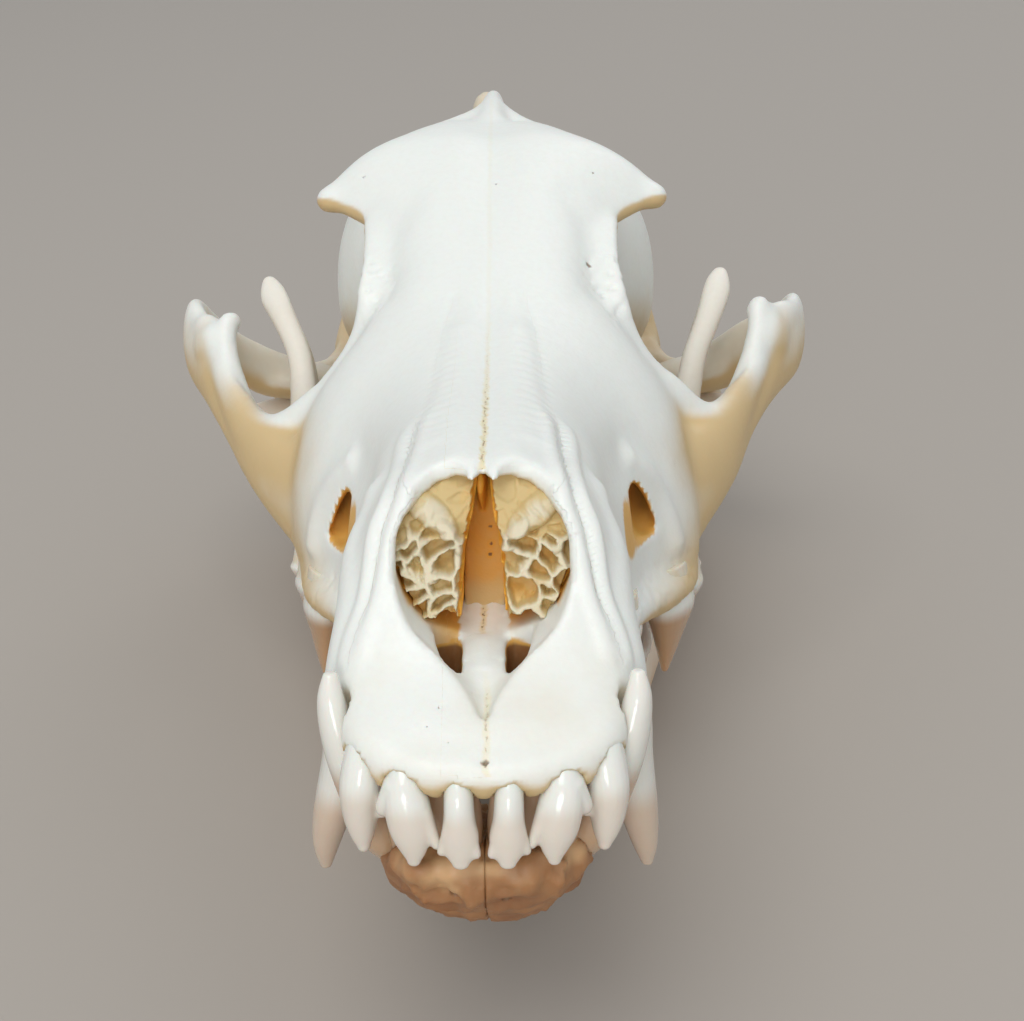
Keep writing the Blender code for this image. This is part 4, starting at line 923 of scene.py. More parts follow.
def mottle(points, size, seed=0.0):
    """Smooth noise from 0 to 1 with spots of about this size."""
    places = points / size + seed
    cell = np.floor(places)
    t = places - cell
    t = t * t * (3 - 2 * t)
    total = np.zeros(len(points))
    for corner in range(8):
        step = np.array([corner & 1, corner >> 1 & 1, corner >> 2 & 1])
        mixed = np.sin((cell + step) @ np.array(SHAKES)) * SHAKE
        weight = np.prod(np.where(step, t, 1 - t), axis=1)
        total += weight * (mixed - np.floor(mixed))
    return total


def ripple(points, size, seed=0.0):
    """The same noise from -0.5 to 0.5."""
    return mottle(points, size, seed) - 0.5


def between(places, rows, key=0, size=1):
    """Read a column of rows at these places of another column, in straight lines."""
    return np.interp(places, [row[key] for row in rows], [row[size] for row in rows])


def line_of(rows, steps=6):
    """The places of a smooth run through the rows."""
    return np.array([row[:3] for row in flow(rows, steps)])


def nearest(points, line):
    """The distance from each point to a line of places, and which place is nearest."""
    best = np.full(len(points), np.inf)
    index = np.zeros(len(points), dtype=int)
    for i, place in enumerate(line):
        distance = np.sum((points - place) ** 2, axis=1)
        closer = distance < best
        best[closer] = distance[closer]
        index[closer] = i
    return np.sqrt(best), index


def seam_distance(points, normals, line):
    """Signed distance to a seam on the skin, minus on one of its sides, and 1 near it."""
    line = line_of(line, 10)
    ways = np.gradient(line, axis=0)
    distance, index = nearest(points, line)
    turned = np.cross(ways[index], points - line[index])
    near = grade(3, 2, distance) * grade(0, 6, index) * grade(len(line) - 1, len(line) - 7, index)
    return distance * np.where(np.sum(turned * normals, axis=1) < 0, -1, 1), near


def press_holes(points, push, places, depth):
    """Press small holes into the skin, and tell how far each point is from them."""
    holes = np.full(len(points), FAR)
    for place, radius in places:
        distance = away(points, place, radius)
        push -= depth * radius * bell(distance / 1.1)
        holes = np.minimum(holes, distance)
    return holes


def cranium_warmth_and_shade(points, normals, mirrored):
    """How beige the bone is: partly its own yellowing on the cheeks and arches, beige at the back, and
    painted warm shade underneath, low down, under the brows and in its folds and hollows; kept white
    along the rim below the eye.
    """
    side, y, z = mirrored.T
    # Beige on the cheeks and arches: partly their own yellowing, partly painted shade in their hollows.
    cheek = grade(14, 31, side) * grade(30, 15, z) * grade(56, 76, y) * grade(132, 118, y)
    arch = grade(30, 37, side) * grade(84, 92, y) * grade(34, 27, z) * grade(132, 118, y)
    # Painted warm shade: beige on what faces down and low on the skull.
    under = grade(0.05, -0.55, normals[:, 2])
    low = grade(8, -2.5, z) * grade(48, 60, y)
    warm = 0.7 * cheek + 0.35 * arch + 0.55 * under + 0.45 * grade(146, 172, y) + 0.4 * low
    warm += 0.3 * grade(1.5, -2.5, z)
    # Painted shade low down behind the eye sockets.
    behind = 0.35 * grade(114, 126, y) * grade(34, 22, z)
    warm += behind + 0.24 * grade(16, 8, y) + 0.1 * grade(110, 126, y)
    # Painted shade in the furrow below the eye and in the cheek's hollow.
    for line, amount, reach in ((EYE_FURROW, 0.3, 3.4), (CHEEK_RECESS, 0.45, 4.6)):
        warm += amount * bell(nearest(mirrored, line_of(line, 8))[0] / reach)
    rim_distance, _place = nearest(mirrored, line_of(ORBIT_RIM[4:]))
    warm *= 1 - 0.9 * np.exp(-(rim_distance / 3.1) ** 4)
    warm += 0.3 * ripple(points, 9, 3.1) * np.maximum(cheek, arch) + 0.1 * ripple(points, 5, 1.1)
    # Painted shade under the brows.
    brows = grade(11, 15, side) * grade(88, 93, y) * grade(122, 108, y) * grade(30, 42, z)
    return np.maximum(warm, brows * grade(0.45, -0.05, normals[:, 2]))


def fissure_walls(mirrored, facing):
    """1 on the walls of the openings in the floor of the nose and 0 elsewhere."""
    side, y, z = mirrored.T
    (front, back, _slant), (inner, _narrow, outer) = FISSURE
    inwards = np.column_stack((0.5 * (inner + outer) - side, 0.5 * (front + back) - y))
    length = np.maximum(np.linalg.norm(inwards, axis=1), 0.1)
    near = (side > inner - 0.7) & (side < outer + 0.8) & (y > front - 1) & (y < back + 0.9)
    floor = NOSTRIL[0][0] - FLOOR_DROP * np.clip((y - LIP_BACK) / FLOOR_RUN, 0, 1)
    faces_in = np.sum(inwards * facing[:, :2], axis=1) / length
    return near * grade(0.15, -0.15, z - floor) * grade(0.2, 0.4, faces_in)


def canal_walls(mirrored, facing):
    """1 on the walls of the canals in the cheeks and 0 elsewhere."""
    canal = line_of(INFRAORBITAL)
    distance, place = nearest(mirrored, canal)
    faces_in = np.sum((canal[place] - mirrored) * facing, axis=1) / np.maximum(distance, 0.1)
    return grade(4.6, 4, distance) * grade(0.15, 0.5, faces_in) * grade(92, 84, mirrored[:, 1])


def cranium_brown_shade(points, normals, mirrored, facing):
    """How brown the bone is: painted shade and glow through thin bone in the nose, painted shade on the
    walls of its openings and of the cheek canals, and brown round the foramen magnum at the back.
    """
    x = points[:, 0]
    side, y, z = mirrored.T
    lip = between(z, ROSTRUM["top"], key=1, size=0)
    nose = (side < between(z, NOSTRIL) * (1 + SIDE_SWELL) + 0.6) & (y < NASAL_DEPTH + 2)
    nose &= (z > 3.4) & (z < 26.4) & ((z < 23) | (normals[:, 2] < -0.3))
    nose &= x * normals[:, 0] + (z - 16) * normals[:, 2] < 0
    beside = grade(13.5, 20.5, y + np.where(x > 0, -3, 0))
    floor_tone = np.where(side < 2.7, grade(24.5, 27.5, y), beside)
    # Painted shade and glow: brown inside the nose, browner further back.
    brown = 0.5 * nose * grade(2.5, 7, y - lip) * np.where(z < 11.5, floor_tone, 1)
    brown = brown + 0.5 * nose * grade(40, 70, y)
    # Painted shade on the walls of the palate's openings and of the cheek canals.
    brown = np.maximum(brown, 0.9 * fissure_walls(mirrored, facing))
    brown = np.maximum(brown, 0.5 * canal_walls(mirrored, facing))
    return np.maximum(brown, 0.8 * (away(points, FORAMEN_MAGNUM[0], 16) < 1) * (side < 8))


def sculpt_cranium(piece):
    """Press the seams, furrows and small holes into the cranium, and mark its colours."""
    points, normals = points_of(piece), points_of(piece, "normal")
    x, y, z = points.T
    side = np.abs(x)
    mirrored = np.column_stack((side, y, z))
    facing = np.column_stack((np.copysign(normals[:, 0], normals[:, 0] * x), normals[:, 1:]))
    push = np.zeros(len(points))
    above = grade(0.2, 0.7, normals[:, 2])
    push -= grade(84, 98, y) * grade(124, 112, y) * above * bell(x / 3.4)
    nasals = grade(16, 24, y) * grade(84, 66, y) * above
    push += nasals * (0.3 * bell((side - 2.8) / 1.6) - 0.25 * bell(x / 1.1))
    middle = np.where(side < 4, x + 0.1 - 0.35 * grade(14, 9, y), FAR)
    middle[(normals[:, 2] < 0.1) | (y > 130) | ((y > 11.5) & (y < 18) & (z < 12))] = FAR
    nasal, by_nasal = seam_distance(mirrored, facing, NASAL_SEAM)
    front, by_front = seam_distance(mirrored, facing, PREMAXILLA_SEAM)
    push -= 0.16 * bell(middle / 0.5) * (0.4 + mottle(points, 1.1)) * grade(112, 84, y)
    push -= 0.16 * by_nasal * bell(nasal / 0.9)
    stronger = np.where(x > 0, 1.0, 0.7) * by_front
    push -= 0.5 * stronger * bell(front / 0.6)
    push += 0.45 * stronger * bell((np.abs(front) - 1.5) / 1.1)
    for line, reach, rise in RELIEF:
        push += rise * bell(nearest(mirrored, line_of(line, 8))[0] / reach)
    holes = press_holes(points, push, HOLES, 0.5)
    rough = np.exp(-((y - 86) / 6) ** 2 - ((z - 37) / 6) ** 2 - ((side - 16.5) / 3) ** 2) * 0.9
    gum = (side > 8) & (side < 30) & (y > 26) & (y < 100) & (np.abs(z) < 3)
    rough = rough + gum * 0.25 + grade(150, 170, y) * 0.15
    push += 0.5 * rough * ripple(points, 1.3) + 0.05 * ripple(points, 2.4, 7.3)
    push -= 0.5 * rough * grade(0.62, 0.8, mottle(points, 0.9, 4.4))
    move_points(piece, points + normals * push[:, None])
    mark(
        piece,
        warm=np.clip(cranium_warmth_and_shade(points, normals, mirrored), 0, 1),
        brown=np.clip(cranium_brown_shade(points, normals, mirrored, facing), 0, 1),
        middle=middle,
        nasal=nasal,
        front=front,
        near=np.maximum(by_front, 0.3 * by_nasal),
        grit=grade(74, 28, y) * grade(15, 22, y) + 0.4 * grade(11, 7, y),
        hole=np.clip(holes, 0, FAR),
    )


def sculpt_jaw(piece):
    """Roughen the chin and the tooth sockets of a jaw half, and mark its colours."""
    points, normals = points_of(piece), points_of(piece, "normal")
    x, y, z = points.T
    front = grade(34, 12, y)
    gum = grade(-16, -11, z) * grade(100, 90, y)
    rough = 0.9 * front + 0.5 * gum
    push = 1.9 * front * (0.3 - np.abs(ripple(points, 3.1, 3.3))) + 0.9 * rough * ripple(points, 1.5)
    push += 0.4 * rough * ripple(points, 0.8, 5.1) - 0.3 * front * bell((np.abs(x) - 0.3) / 0.9)
    push += 0.05 * ripple(points, 3.0, 2.2)
    holes = press_holes(points, push, CHIN_HOLES, 0.9)
    flank = np.abs(np.abs(x) - GAP / 2) > 0.05
    move_points(piece, points + normals * (push * flank)[:, None])
    # Beige on the chin, underneath and low down, paler up the ramus: partly the jaw's own tone, partly
    # painted warm shade.
    warm = 0.45 + 0.5 * front + 0.25 * grade(0.2, -0.6, normals[:, 2]) - 0.4 * grade(8, 20, z)
    warm += 0.2 * ripple(points, 7, 1.7)
    # Painted shade: brown low on the chin, round its sockets and mottled with its lumps.
    brown = 0.75 * front * grade(-10, -16, z) + 0.35 * gum * front
    brown += 0.8 * front * ripple(points, 3.1, 3.3) + 0.4 * front * ripple(points, 1.2, 8.3)
    far = np.full(len(points), FAR)
    none = np.zeros(len(points))
    mark(
        piece,
        warm=np.clip(warm, 0, 1),
        brown=np.clip(brown, 0, 1),
        middle=far,
        nasal=far,
        front=far,
        grit=none,
        near=none,
        hole=np.clip(holes, 0, FAR),
    )


def build_cranium():
    cranium = join("cranium_bone", cranium_masses())
    grow_together(cranium, FILLET, 2.0)
    carve(cranium, cranium_hollows())
    pieces = [cranium, bar("palatine_bar", PALATINE_BAR), ball("crest_knob", CREST_KNOB)]
    for side in (1, -1):
        pieces.append(bar("nasal_tip", NASAL_TIP, side))
        pieces.append(bar("orbit_bar", ORBIT_RIM[4:], side, up=(0, 1, 0.3)))
    cranium = join("cranium_bone", pieces)
    remesh(cranium, VOXEL)
    smooth(cranium, 0.8, VOXEL)
    sculpt_cranium(cranium)
    return cranium


def jaw_body(side):
    """The tooth-bearing bar of the jaw, out to the tip of the angular process."""
    def point(c, s, y, at):
        rise = power(s, 0.9)
        upper, lower = at["upper_middle"], at["lower_middle"]
        middle, half = 0.5 * (at["top"] + at["bottom"]), 0.5 * (at["top"] - at["bottom"])
        x = lower + (upper - lower) * 0.5 * (1 + rise) + at["half_width"] * c
        return side * x, y, middle + half * rise

    return skin("jaw_body", sizes_along(JAW_BODY, STEP), point)


def ramus(side):
    """The upright blade of the jaw, up to the tip of the coronoid process."""
    def point(c, s, z, front, back, half, across, drift):
        y = 0.5 * (front + back) + 0.5 * (back - front) * power(c, 0.6)
        return side * (across + drift * (y - RAMUS_MIDDLE) + half * power(s, 0.6)), y, z

    return skin("ramus", flow(RAMUS, 4), point)


def ramus_ridge(side):
    """The thick front edge of the coronoid process, in front of the muscle's hollow."""
    rows = []
    for z, front, _back, half, across, drift in RAMUS:
        y = front + 1.6
        rows.append((across + drift * (y - RAMUS_MIDDLE) + 0.3, y, z, half + RAMUS_FRONT_RIDGE, 1.7))
    return bar("ramus_ridge", rows, side, up=(0, 1, 0))


def build_jaw(side):
    name = "jaw_left" if side > 0 else "jaw_right"
    jaw = join(name, [
        jaw_body(side),
        ramus(side),
        ramus_ridge(side),
        mass("chin", CHIN),
        bar("jaw_neck", JAW_NECK, side),
        ball("jaw_condyle", JAW_CONDYLE, side, 6),
    ])
    grow_together(jaw, JAW_FILLET, 1.6)
    mesh = bmesh.new()
    mesh.from_mesh(jaw.data)
    geometry = [*mesh.verts, *mesh.edges, *mesh.faces]
    cut = bmesh.ops.bisect_plane(
        mesh, geom=geometry, clear_outer=True,
        plane_co=(side * 0.5 * GAP, 0, 0), plane_no=(-side, 0, 0),
    )
    edges = [item for item in cut["geom_cut"] if isinstance(item, bmesh.types.BMEdge)]
    bmesh.ops.triangle_fill(mesh, edges=edges, use_beauty=True, use_dissolve=False)
    bmesh.ops.recalc_face_normals(mesh, faces=mesh.faces)
    mesh.to_mesh(jaw.data)
    mesh.free()
    sculpt_jaw(jaw)
    return jaw


def finish_tooth(name, pieces, gum, tip, stains):
    """Fuse a tooth's forms, and mark each point's place from gum to tip and how brown it is, which is
    stain on some teeth and painted shade on others.
    """
    tooth = join(name, pieces)
    remesh(tooth, TOOTH_VOXEL)
    smooth(tooth, 0.35, TOOTH_VOXEL)
    crown = np.clip((points_of(tooth)[:, 2] - gum) / (tip - gum), 0, 1)
    neck, end, start = stains
    mark(tooth, crown=crown, stain=neck + (end - neck) * grade(start, start + 0.2, crown))
    return tooth


def cheek_tooth(name, tooth, side, line, stains):
    pieces = [cusp(form, side, cheek_heading(form[1], line)) for form in tooth]
    return finish_tooth(name, pieces, tooth[0][4], tooth[0][5], stains)


def canine(rows, side, heading, gum, stains):
    crown = peg("canine", flow(rows), side, heading)
    return finish_tooth("canine", [crown], gum, rows[-1][2], stains)


def upper_teeth():
    teeth = []
    line = row_line(UPPER_CHEEK_TEETH[:4])
    for side in (1, -1):
        for forms in UPPER_INCISORS.values():
            pieces = [bar("lobe", rows, side, up=(0, 1, 0)) for rows in forms]
            gum, tip = forms[0][1][2], forms[0][-1][2]
            teeth.append(finish_tooth("incisor", pieces, gum, tip, INCISOR_TIP_SHADE))
        gum = UPPER_CANINE[1][2]
        teeth.append(canine(UPPER_CANINE, side, UPPER_CANINE_HEADING, gum, CANINE_TIP_SHADE))
        for place, tooth in enumerate(UPPER_CHEEK_TEETH):
            stains = CARNASSIAL_STAIN_AND_SHADE if place == CARNASSIAL else CHEEK_TIP_SHADE
            teeth.append(cheek_tooth("cheek", tooth, side, line, stains))
    return teeth


def lower_teeth():
    teeth = []
    line = row_line(LOWER_CHEEK_TEETH)
    for side in (1, -1):
        for x, y, tip, half in LOWER_INCISORS:
            rows = [
                (x * (1 - 0.02 * back), y + back, z, half * share, deep)
                for back, z, share, deep in LOWER_INCISOR_ROOT
            ]
            rows.append((x, y, tip - 0.4, half * 0.8, 0.6))
            pieces = [bar("incisor", rows, side, up=(0, 1, 0))]
            teeth.append(finish_tooth("incisor", pieces, LOWER_INCISOR_GUM, tip, LOWER_INCISOR_STAIN_AND_SHADE))
        teeth.append(canine(
            LOWER_CANINE, side, LOWER_CANINE_HEADING, LOWER_CANINE_GUM, LOWER_CANINE_STAINS
        ))
        for tooth in LOWER_CHEEK_TEETH:
            teeth.append(cheek_tooth("cheek", tooth, side, line, CHEEK_TIP_SHADE))
    return teeth


def gather(name, teeth):
    """Put finished teeth in one object and keep their marks."""
    marks = {
        key: np.concatenate([mark_of(tooth, key) for tooth in teeth]) for key in ("crown", "stain")
    }
    whole = bmesh.new()
    for tooth in teeth:
        whole.from_mesh(tooth.data)
        bpy.data.objects.remove(tooth)
    mesh = bpy.data.meshes.new(name)
    whole.to_mesh(mesh)
    whole.free()
    joined = bpy.data.objects.new(name, mesh)
    bpy.context.scene.collection.objects.link(joined)
    for key in marks:
        if key in mesh.attributes:
            mesh.attributes.remove(mesh.attributes[key])
    mark(joined, **marks)
    return joined


def cells(places, size, seed):
    """How far inside a cell of a net each place is: 0 on the threads, in the places' unit."""
    whole = np.floor(places / size)
    first = np.full(len(places), np.inf)
    second = np.full(len(places), np.inf)
    for i in (-2, -1, 0, 1, 2):
        for j in (-2, -1, 0, 1, 2):
            knot = whole + (i, j)
            shaken = np.sin(knot @ np.array(NET_SHAKES) + seed) * SHAKE
            knot = (knot + 0.5 + 0.9 * (shaken - np.floor(shaken) - 0.5)) * size
            distance = np.linalg.norm(places - knot, axis=1)
            second = np.minimum(second, np.maximum(first, distance))
            first = np.minimum(first, distance)
    return second - first


def nostril_half(z):
    """The half width of the nose inside its rim, at each height."""
    low, high = NOSTRIL[0][0] - 0.45 * FLOOR_DROP, 25.0
    share = np.clip((z - low) / (high - low), 0, 1)
    level = NOSTRIL[0][0] + (NOSTRIL[-1][0] - NOSTRIL[0][0]) * share
    return between(level, NOSTRIL) * (1 + 0.6 * SIDE_SWELL * (1 - share))


def scroll_front(x, z, side):
    """How far back the front of the scrolled bone lies at each place, and how brown it is: painted shade
    deep in its cups, in the slot at its border and on its upper lobes, with some random mottling.
    """
    flat = np.column_stack((x, z, np.zeros(len(x))))
    seed = 3.7 if side > 0 else 11.3
    bend_x = 1.5 * ripple(flat, 2.3, seed) + 0.5 * ripple(flat, 0.8, seed + 2)
    bend_z = 1.5 * ripple(flat, 2.1, seed + 5) + 0.5 * ripple(flat, 0.8, seed + 7)
    slant = math.radians(SCROLL_SLANT)
    along = (x + bend_x) * math.cos(slant) - (z + bend_z) * math.sin(slant)
    across = ((x + bend_x) * math.sin(slant) + (z + bend_z) * math.cos(slant)) * 1.35
    inside = cells(np.column_stack((along, across)), SCROLL_CELL, seed)
    ragged = 0.3 * ripple(flat, 0.45, seed + 4) + 0.2 * ripple(flat, 0.2, seed + 6)
    cup = grade(SCROLL_WALL * 0.4, SCROLL_WALL * 1.6, inside + ragged)
    open_share = 0.55 + 0.45 * mottle(flat, 1.6, seed + 9)
    folded = grade(SCROLL_FOLDS + 1.4, SCROLL_FOLDS - 1.2, z + 2.2 * ripple(flat, 2.6, seed + 1))
    depth = SCROLL_CUP * cup * open_share * (0.12 + 0.88 * folded)
    depth += 1.5 * ripple(flat, 2.8, seed + 3) * folded + 0.5 * ragged * folded
    for lobe_x, lobe_z, long, thick, turn, swollen in SCROLL_LOBES:
        c, s = math.cos(math.radians(turn)), math.sin(math.radians(turn))
        u = ((x - lobe_x) * c + (z - lobe_z) * s) / long
        v = (-(x - lobe_x) * s + (z - lobe_z) * c) / thick
        depth -= swollen * np.sqrt(np.clip(1 - u * u - v * v, 0, 1))
    depth = np.maximum(depth, -1.6)
    torn = 0.9 * ripple(flat, 0.9, seed + 8) + 0.5 * ripple(flat, 0.35, seed)
    inner = between(z, SCROLL_INNER) + 0.15 + 0.6 * np.abs(torn)
    outer = nostril_half(z) - 0.3
    low = 10.2 + 0.5 * torn + 1.2 * ripple(flat, 1.5, seed + 2)
    rim = np.minimum(x - inner, np.maximum(outer - x, (z - 15) * 0.8) + 0.25 * torn)
    beyond = grade(0.18, -0.1, rim)
    depth = depth + np.maximum(1.8 * beyond, 9 * grade(0.18, -0.1, z - low))
    # Painted shade: the deeper the bone lies, the browner it is.
    stain = depth / 4.2 + 0.5 * beyond + 0.3 * (1 - folded)
    stain += 0.12 * grade(0.45, 0.65, mottle(flat, 1.7, seed + 6))
    return between(z, SCROLL_FRONT) + depth, np.clip(stain, 0, 1)


def build_scrolls(side):
    """The ragged net of thin bone that fills one side of the nose, cupped in its cells."""
    wide = np.linspace(0, 1, round(NOSTRIL[4][1] / SCROLL_STEP))
    tall = np.array(spread(*SCROLL_TALL, SCROLL_STEP))
    x, z = (grid.ravel() for grid in np.meshgrid(wide, tall))
    half = nostril_half(z) + SCROLL_SET_IN
    inner = between(z, SCROLL_INNER)
    x = inner + (half - inner) * x
    y, stain = scroll_front(x, z, side)
    columns, rows = len(wide), len(tall)
    fronts = np.column_stack((side * x, y, z))
    backs = np.column_stack((side * x, np.full(len(x), SCROLL_BACK + 2.0), z))
    corners = np.arange(columns * rows).reshape(rows, columns)
    quads = np.stack((
        corners[:-1, :-1], corners[:-1, 1:], corners[1:, 1:], corners[1:, :-1],
    ), -1).reshape(-1, 4)
    border = np.concatenate((
        corners[0, :], corners[1:, -1], corners[-1, -2::-1], corners[-2:0:-1, 0],
    ))
    count = columns * rows
    after = np.roll(border, -1)
    walls = np.column_stack((border, border + count, after + count, after))
    faces = np.concatenate((quads, quads[:, ::-1] + count, walls))
    mesh = bpy.data.meshes.new("scrolls")
    mesh.from_pydata(np.concatenate((fronts, backs)).tolist(), [], faces.tolist())
    if side > 0:
        mesh.flip_normals()
    scrolls = bpy.data.objects.new("scrolls_left" if side > 0 else "scrolls_right", mesh)
    bpy.context.scene.collection.objects.link(scrolls)
    mark(scrolls, depth=np.concatenate((stain, np.ones(count))))
    return scrolls


def build_septum():
    """The thin plate under the nasal bones and the vomer's trough that rises behind it."""
    def point(c, s, y, z, wide, groove):
        deep = VOMER_THICK * s if s < 0 else 0.35 * s - groove * (1 - c * c) * 2
        return wide * power(c, 0.6), y - 0.75 * deep, z + 0.6 * deep

    septum = join("septum", [bar("plate", SEPTUM_PLATE), skin("vomer", flow(VOMER), point)])
    remesh(septum, SEPTUM_VOXEL)
    smooth(septum, 0.4, SEPTUM_VOXEL)
    x, _y, z = points_of(septum).T
    # Painted shade and glow: browner higher up in the nose, and dark painted spots for the vomer's small
    # holes.
    depth = 0.02 + 0.66 * grade(8, 12.4, z) + 0.2 * grade(12, 20, z)
    for hole_x, hole_z in VOMER_HOLES:
        depth = depth + 1.2 * np.exp(-(((x - hole_x) ** 2 + (z - hole_z) ** 2) / 0.05))
    mark(septum, depth=np.clip(depth, 0, 1.5))
    return septum


def shader_tree(name, settings):
    """A new material, its nodes and its shader, with these numbers on the shader's sockets."""
    material = bpy.data.materials.new(name)
    material.use_nodes = True
    tree = material.node_tree
    shader = tree.nodes["Principled BSDF"]
    for socket, value in settings.items():
        shader.inputs[socket].default_value = value
    return material, tree, shader


def add_node(tree, kind, links=(), **values):
    """A node with its own settings; links are (socket, source) pairs."""
    node = tree.nodes.new(kind)
    for key, value in values.items():
        setattr(node, key, value)
    for socket, source in links:
        if hasattr(source, "is_linked"):
            tree.links.new(source, node.inputs[socket])
        else:
            node.inputs[socket].default_value = source
    return node


def read_mark(tree, name):
    node = add_node(tree, "ShaderNodeAttribute", attribute_type="GEOMETRY", attribute_name=name)
    return node.outputs["Fac"]


def noise_of(tree, scale, detail=4.0, roughness=0.6):
    """Noise with this many spots a millimetre, from 0 to 1."""
    place = add_node(tree, "ShaderNodeTexCoord").outputs["Object"]
    node = add_node(tree, "ShaderNodeTexNoise", (
        ("Vector", place), ("Scale", scale / METRES), ("Detail", detail), ("Roughness", roughness),
    ))
    return node.outputs["Fac"]


def work(tree, operation, *sources):
    node = add_node(tree, "ShaderNodeMath", tuple(enumerate(sources)), operation=operation)
    return node.outputs[0]


def times(tree, *factors):
    return work(tree, "MULTIPLY", *factors)


def sway(tree, noise, amount):
    """Noise around 0, up to half this amount either way."""
    return times(tree, work(tree, "SUBTRACT", noise, 0.5), amount)


def ramp(tree, source, low, high):
    """0 where the source is low and 1 where it is high."""
    node = add_node(tree, "ShaderNodeMapRange", (
        (0, source), (1, low), (2, high), (3, 0.0), (4, 1.0),
    ), interpolation_type="SMOOTHSTEP")
    return node.outputs[0]


def mix(tree, share, first, second):
    """Mix two colours by a share from 0 to 1."""
    shades = [(*shade, 1) if isinstance(shade, tuple) else shade for shade in (first, second)]
    node = add_node(tree, "ShaderNodeMix", zip((0, 6, 7), (share, *shades)), data_type="RGBA")
    return node.outputs[2]


def add_bump(tree, shader, height):
    """Bump the shader's surface by a height in millimetres."""
    bump = add_node(tree, "ShaderNodeBump", (("Height", height), ("Distance", METRES)))
    tree.links.new(bump.outputs[0], shader.inputs["Normal"])


def bone_material(name, tones, roughness):
    """Bleached bone: white, turned beige in its folds and underneath and brown in its depths by painted
    shade and glow.
    """
    white, beige, honey, deep = tones
    material, tree, shader = shader_tree(name, {
        "Specular IOR Level": 0.5, "Subsurface Weight": 0.12, "Subsurface Scale": 0.002,
    })
    warm, brown, grit, hole = (read_mark(tree, key) for key in ("warm", "brown", "grit", "hole"))
    fine = noise_of(tree, 1.1, 5.0, 0.65)
    spots = noise_of(tree, 2.4, 3.0, 0.5)
    share = work(tree, "ADD", warm, sway(tree, noise_of(tree, 0.12, 3.0), 0.35))
    # Beige, honey and deep brown from the warm and brown marks: mostly painted shade and glow.
    colour = mix(tree, ramp(tree, share, 0.05, 1.0), white, beige)
    colour = mix(tree, ramp(tree, brown, 0.0, 0.5), colour, honey)
    colour = mix(tree, ramp(tree, brown, 0.5, 1.0), colour, deep)
    wander = sway(tree, noise_of(tree, 0.7, 4.0, 0.7), 1.1)
    middle, nasal, front = (
        work(tree, "ABSOLUTE", work(tree, "ADD", read_mark(tree, key), wander))
        for key in ("middle", "nasal", "front")
    )
    seams = work(tree, "MAXIMUM", ramp(tree, nasal, 0.09, 0.02), ramp(tree, front, 0.11, 0.02))
    crack = times(tree, seams, read_mark(tree, "near"))
    sand = times(tree, ramp(tree, middle, 0.5, 0.12), work(tree, "ADD", times(tree, grit, 0.75), 0.12))
    specks = times(tree, ramp(tree, middle, 0.16, 0.02), grit)
    specks = times(tree, specks, ramp(tree, spots, 0.5, 0.62))
    pit = ramp(tree, hole, 1.0, 0.45)
    colour = mix(tree, times(tree, crack, 0.35), colour, SEAM_TONE)
    colour = mix(tree, sand, colour, SAND_TONE)
    colour = mix(tree, times(tree, specks, 0.9), colour, SPECK_TONE)
    # Painted shade darkens the small holes.
    colour = mix(tree, times(tree, pit, 0.85), colour, HOLE_SHADE_TONE)
    colour = mix(tree, times(tree, ramp(tree, fine, 0.35, 0.75), 0.06), colour, DULL_TONE)
    tree.links.new(colour, shader.inputs["Base Color"])
    gloss = add_node(tree, "ShaderNodeMapRange", (
        (0, fine), (1, 0.3), (2, 0.7), (3, roughness - 0.05), (4, roughness + 0.1),
    ))
    tree.links.new(gloss.outputs[0], shader.inputs["Roughness"])
    relief = times(tree, fine, 0.035)
    for dent, depth in ((crack, 0.05), (specks, 0.14), (pit, 0.25)):
        relief = work(tree, "SUBTRACT", relief, times(tree, dent, depth))
    add_bump(tree, shader, relief)
    return material


def scroll_material():
    """Thin bone in the nose: pale at its torn edges, honey brown further in as painted shade and glow,
    and dark as painted shade in its holes.
    """
    edge, inner, deep, hole = SCROLL_TONES
    material, tree, shader = shader_tree("scroll_bone", {
        "Roughness": 0.5, "Specular IOR Level": 0.25,
        "Subsurface Weight": 0.15, "Subsurface Scale": 0.0015,
    })
    cloud = sway(tree, noise_of(tree, 0.3, 3.0), 0.4)
    share = work(tree, "ADD", read_mark(tree, "depth"), cloud)
    colour = mix(tree, ramp(tree, share, 0.02, 0.3), edge, inner)
    colour = mix(tree, ramp(tree, share, 0.35, 0.9), colour, deep)
    colour = mix(tree, ramp(tree, share, 1.1, 1.5), colour, hole)
    tree.links.new(colour, shader.inputs["Base Color"])
    add_bump(tree, shader, times(tree, noise_of(tree, 1.5, 4.0), 0.05))
    return material


def tooth_material():
    """Enamel: glossy ivory, warmer at the neck as painted shade at the gum, and browned by real stain on
    some teeth and by painted shade and glow at the tips of others.
    """
    neck, crown, stain = ENAMEL_TONES
    material, tree, shader = shader_tree("enamel", {
        "Roughness": 0.16, "Coat Weight": 0.3, "Coat Roughness": 0.08,
        "Subsurface Weight": 0.2, "Subsurface Scale": 0.002,
    })
    cloud = sway(tree, noise_of(tree, 0.35, 3.0), 0.25)
    share = work(tree, "ADD", read_mark(tree, "crown"), cloud)
    # Beige at the neck is painted shade at the gum.
    colour = mix(tree, ramp(tree, share, -0.06, 0.12), neck, crown)
    # Brown is real stain on some teeth and painted shade and glow at the tips of others.
    colour = mix(tree, read_mark(tree, "stain"), colour, stain)
    tree.links.new(colour, shader.inputs["Base Color"])
    add_bump(tree, shader, times(tree, noise_of(tree, 0.5, 3.0), 0.06))
    return material


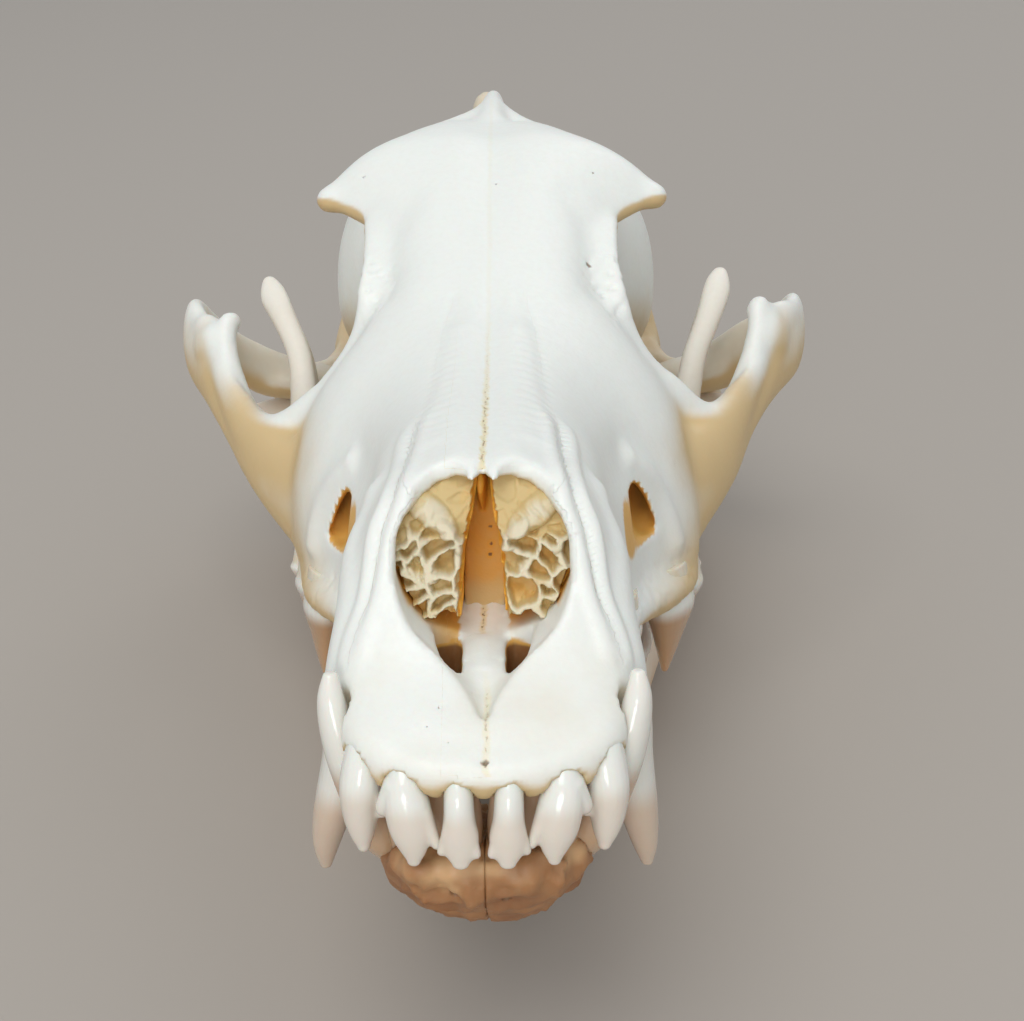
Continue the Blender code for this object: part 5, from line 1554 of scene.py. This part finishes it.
def rest_turn():
    """The matrix from the skull's frame to the table's, in millimetres."""
    pitch = math.atan2(HEEL[1] - BELLY[1], HEEL[0] - BELLY[0])
    return Matrix.Rotation(-pitch, 4, "X")


def frame_place():
    """Where the skull's frame lies on the table: the septum of the part shows it."""
    probe = bar("probe", SEPTUM, sides=10, steps=2)
    turn = rest_turn()
    corners = [turn @ corner.co for corner in probe.data.vertices]
    bpy.data.objects.remove(probe)
    low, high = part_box("nasal_septum")
    shift = []
    for i in range(3):
        reached = [corner[i] for corner in corners]
        shift.append(0.5 * (low[i] + high[i]) / METRES - 0.5 * (min(reached) + max(reached)))
    return Matrix.Scale(METRES, 4) @ Matrix.Translation(shift) @ turn


def dress(piece, material, slot, *nodes):
    """Put a finished piece in place on the table, in its material."""
    nudge(piece)
    piece.data.transform(PLACE)
    points = points_of(piece)
    points[:, 2] = np.maximum(points[:, 2], 0)
    move_points(piece, points)
    piece.data.materials.clear()
    piece.data.materials.append(material)
    piece.data.shade_smooth()
    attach(piece, "root")
    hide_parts(*nodes)


def add_camera():
    yaw, pitch, roll = (math.radians(angle) for angle in (CAMERA_YAW, CAMERA_PITCH, CAMERA_ROLL))
    flat = math.cos(pitch)
    ahead = Vector((math.sin(yaw) * flat, math.cos(yaw) * flat, -math.sin(pitch)))
    level = Vector((math.cos(yaw), -math.sin(yaw), 0))
    over = level.cross(ahead)
    right = math.cos(roll) * level + math.sin(roll) * over
    up = -math.sin(roll) * level + math.cos(roll) * over
    turn = rest_turn().to_3x3()
    axes = [turn @ axis for axis in (right, up, -ahead)]
    pose = Matrix([[axis[i] for axis in axes] for i in range(3)]).to_4x4()
    pose.translation = PLACE @ Vector(CAMERA_PLACE)
    data = bpy.data.cameras.new("camera")
    data.sensor_fit = "HORIZONTAL"
    data.sensor_width = SENSOR
    data.lens = SENSOR * LENS_PIXELS / FRAME_WIDTH
    data.clip_start = 0.01
    data.clip_end = 20
    camera = bpy.data.objects.new("camera", data)
    camera.matrix_world = pose
    bpy.context.scene.collection.objects.link(camera)
    bpy.context.scene.camera = camera


def add_light(name, place, size, watts, colour):
    data = bpy.data.lights.new(name, "AREA")
    data.shape = "DISK"
    data.size = size
    data.energy = watts
    data.color = colour
    light = bpy.data.objects.new(name, data)
    light.location = place
    ahead = Vector(LIGHTS_AIM) - Vector(place)
    light.rotation_euler = ahead.to_track_quat("-Z", "Y").to_euler()
    bpy.context.scene.collection.objects.link(light)


def add_studio():
    mesh = bmesh.new()
    bmesh.ops.create_circle(mesh, cap_ends=True, segments=64, radius=3.0)
    floor = new_object("floor", mesh)
    material, _tree, _shader = shader_tree("floor", {"Base Color": TABLE_TONE, "Roughness": 0.8})
    floor.data.materials.append(material)
    world = bpy.data.worlds.new("studio")
    world.use_nodes = True
    background = world.node_tree.nodes["Background"]
    background.inputs[0].default_value = SKY_TONE
    background.inputs[1].default_value = SKY_LIGHT
    bpy.context.scene.world = world
    for light in LIGHTS:
        add_light(*light)
    bpy.context.scene.view_settings.view_transform = "Standard"
    bpy.context.scene.view_settings.look = "None"


PLACE = frame_place()
bone = bone_material("bone", BONE_TONES, 0.42)
# The jaw's bone: a darker, warmer copy of the skull's, partly its own tone and partly painted shade
# below the skull.
jaw_bone = bone_material("jaw_bone", SHADED_JAW_TONES, 0.5)
enamel = tooth_material()
scroll_bone = scroll_material()
dress(build_cranium(), bone, "bone", "cranium")
dress(build_jaw(1), jaw_bone, "jaw_bone", "mandible_left")
dress(build_jaw(-1), jaw_bone, "jaw_bone", "mandible_right")
dress(gather("upper_teeth", upper_teeth()), enamel, "tooth", "cranium")
dress(gather("lower_teeth", lower_teeth()), enamel, "tooth", "mandible_left", "mandible_right")
dress(build_scrolls(1), scroll_bone, "inner_bone", "turbinates_left")
dress(build_scrolls(-1), scroll_bone, "inner_bone", "turbinates_right")
dress(build_septum(), scroll_bone, "inner_bone", "nasal_septum")
add_camera()
add_studio()
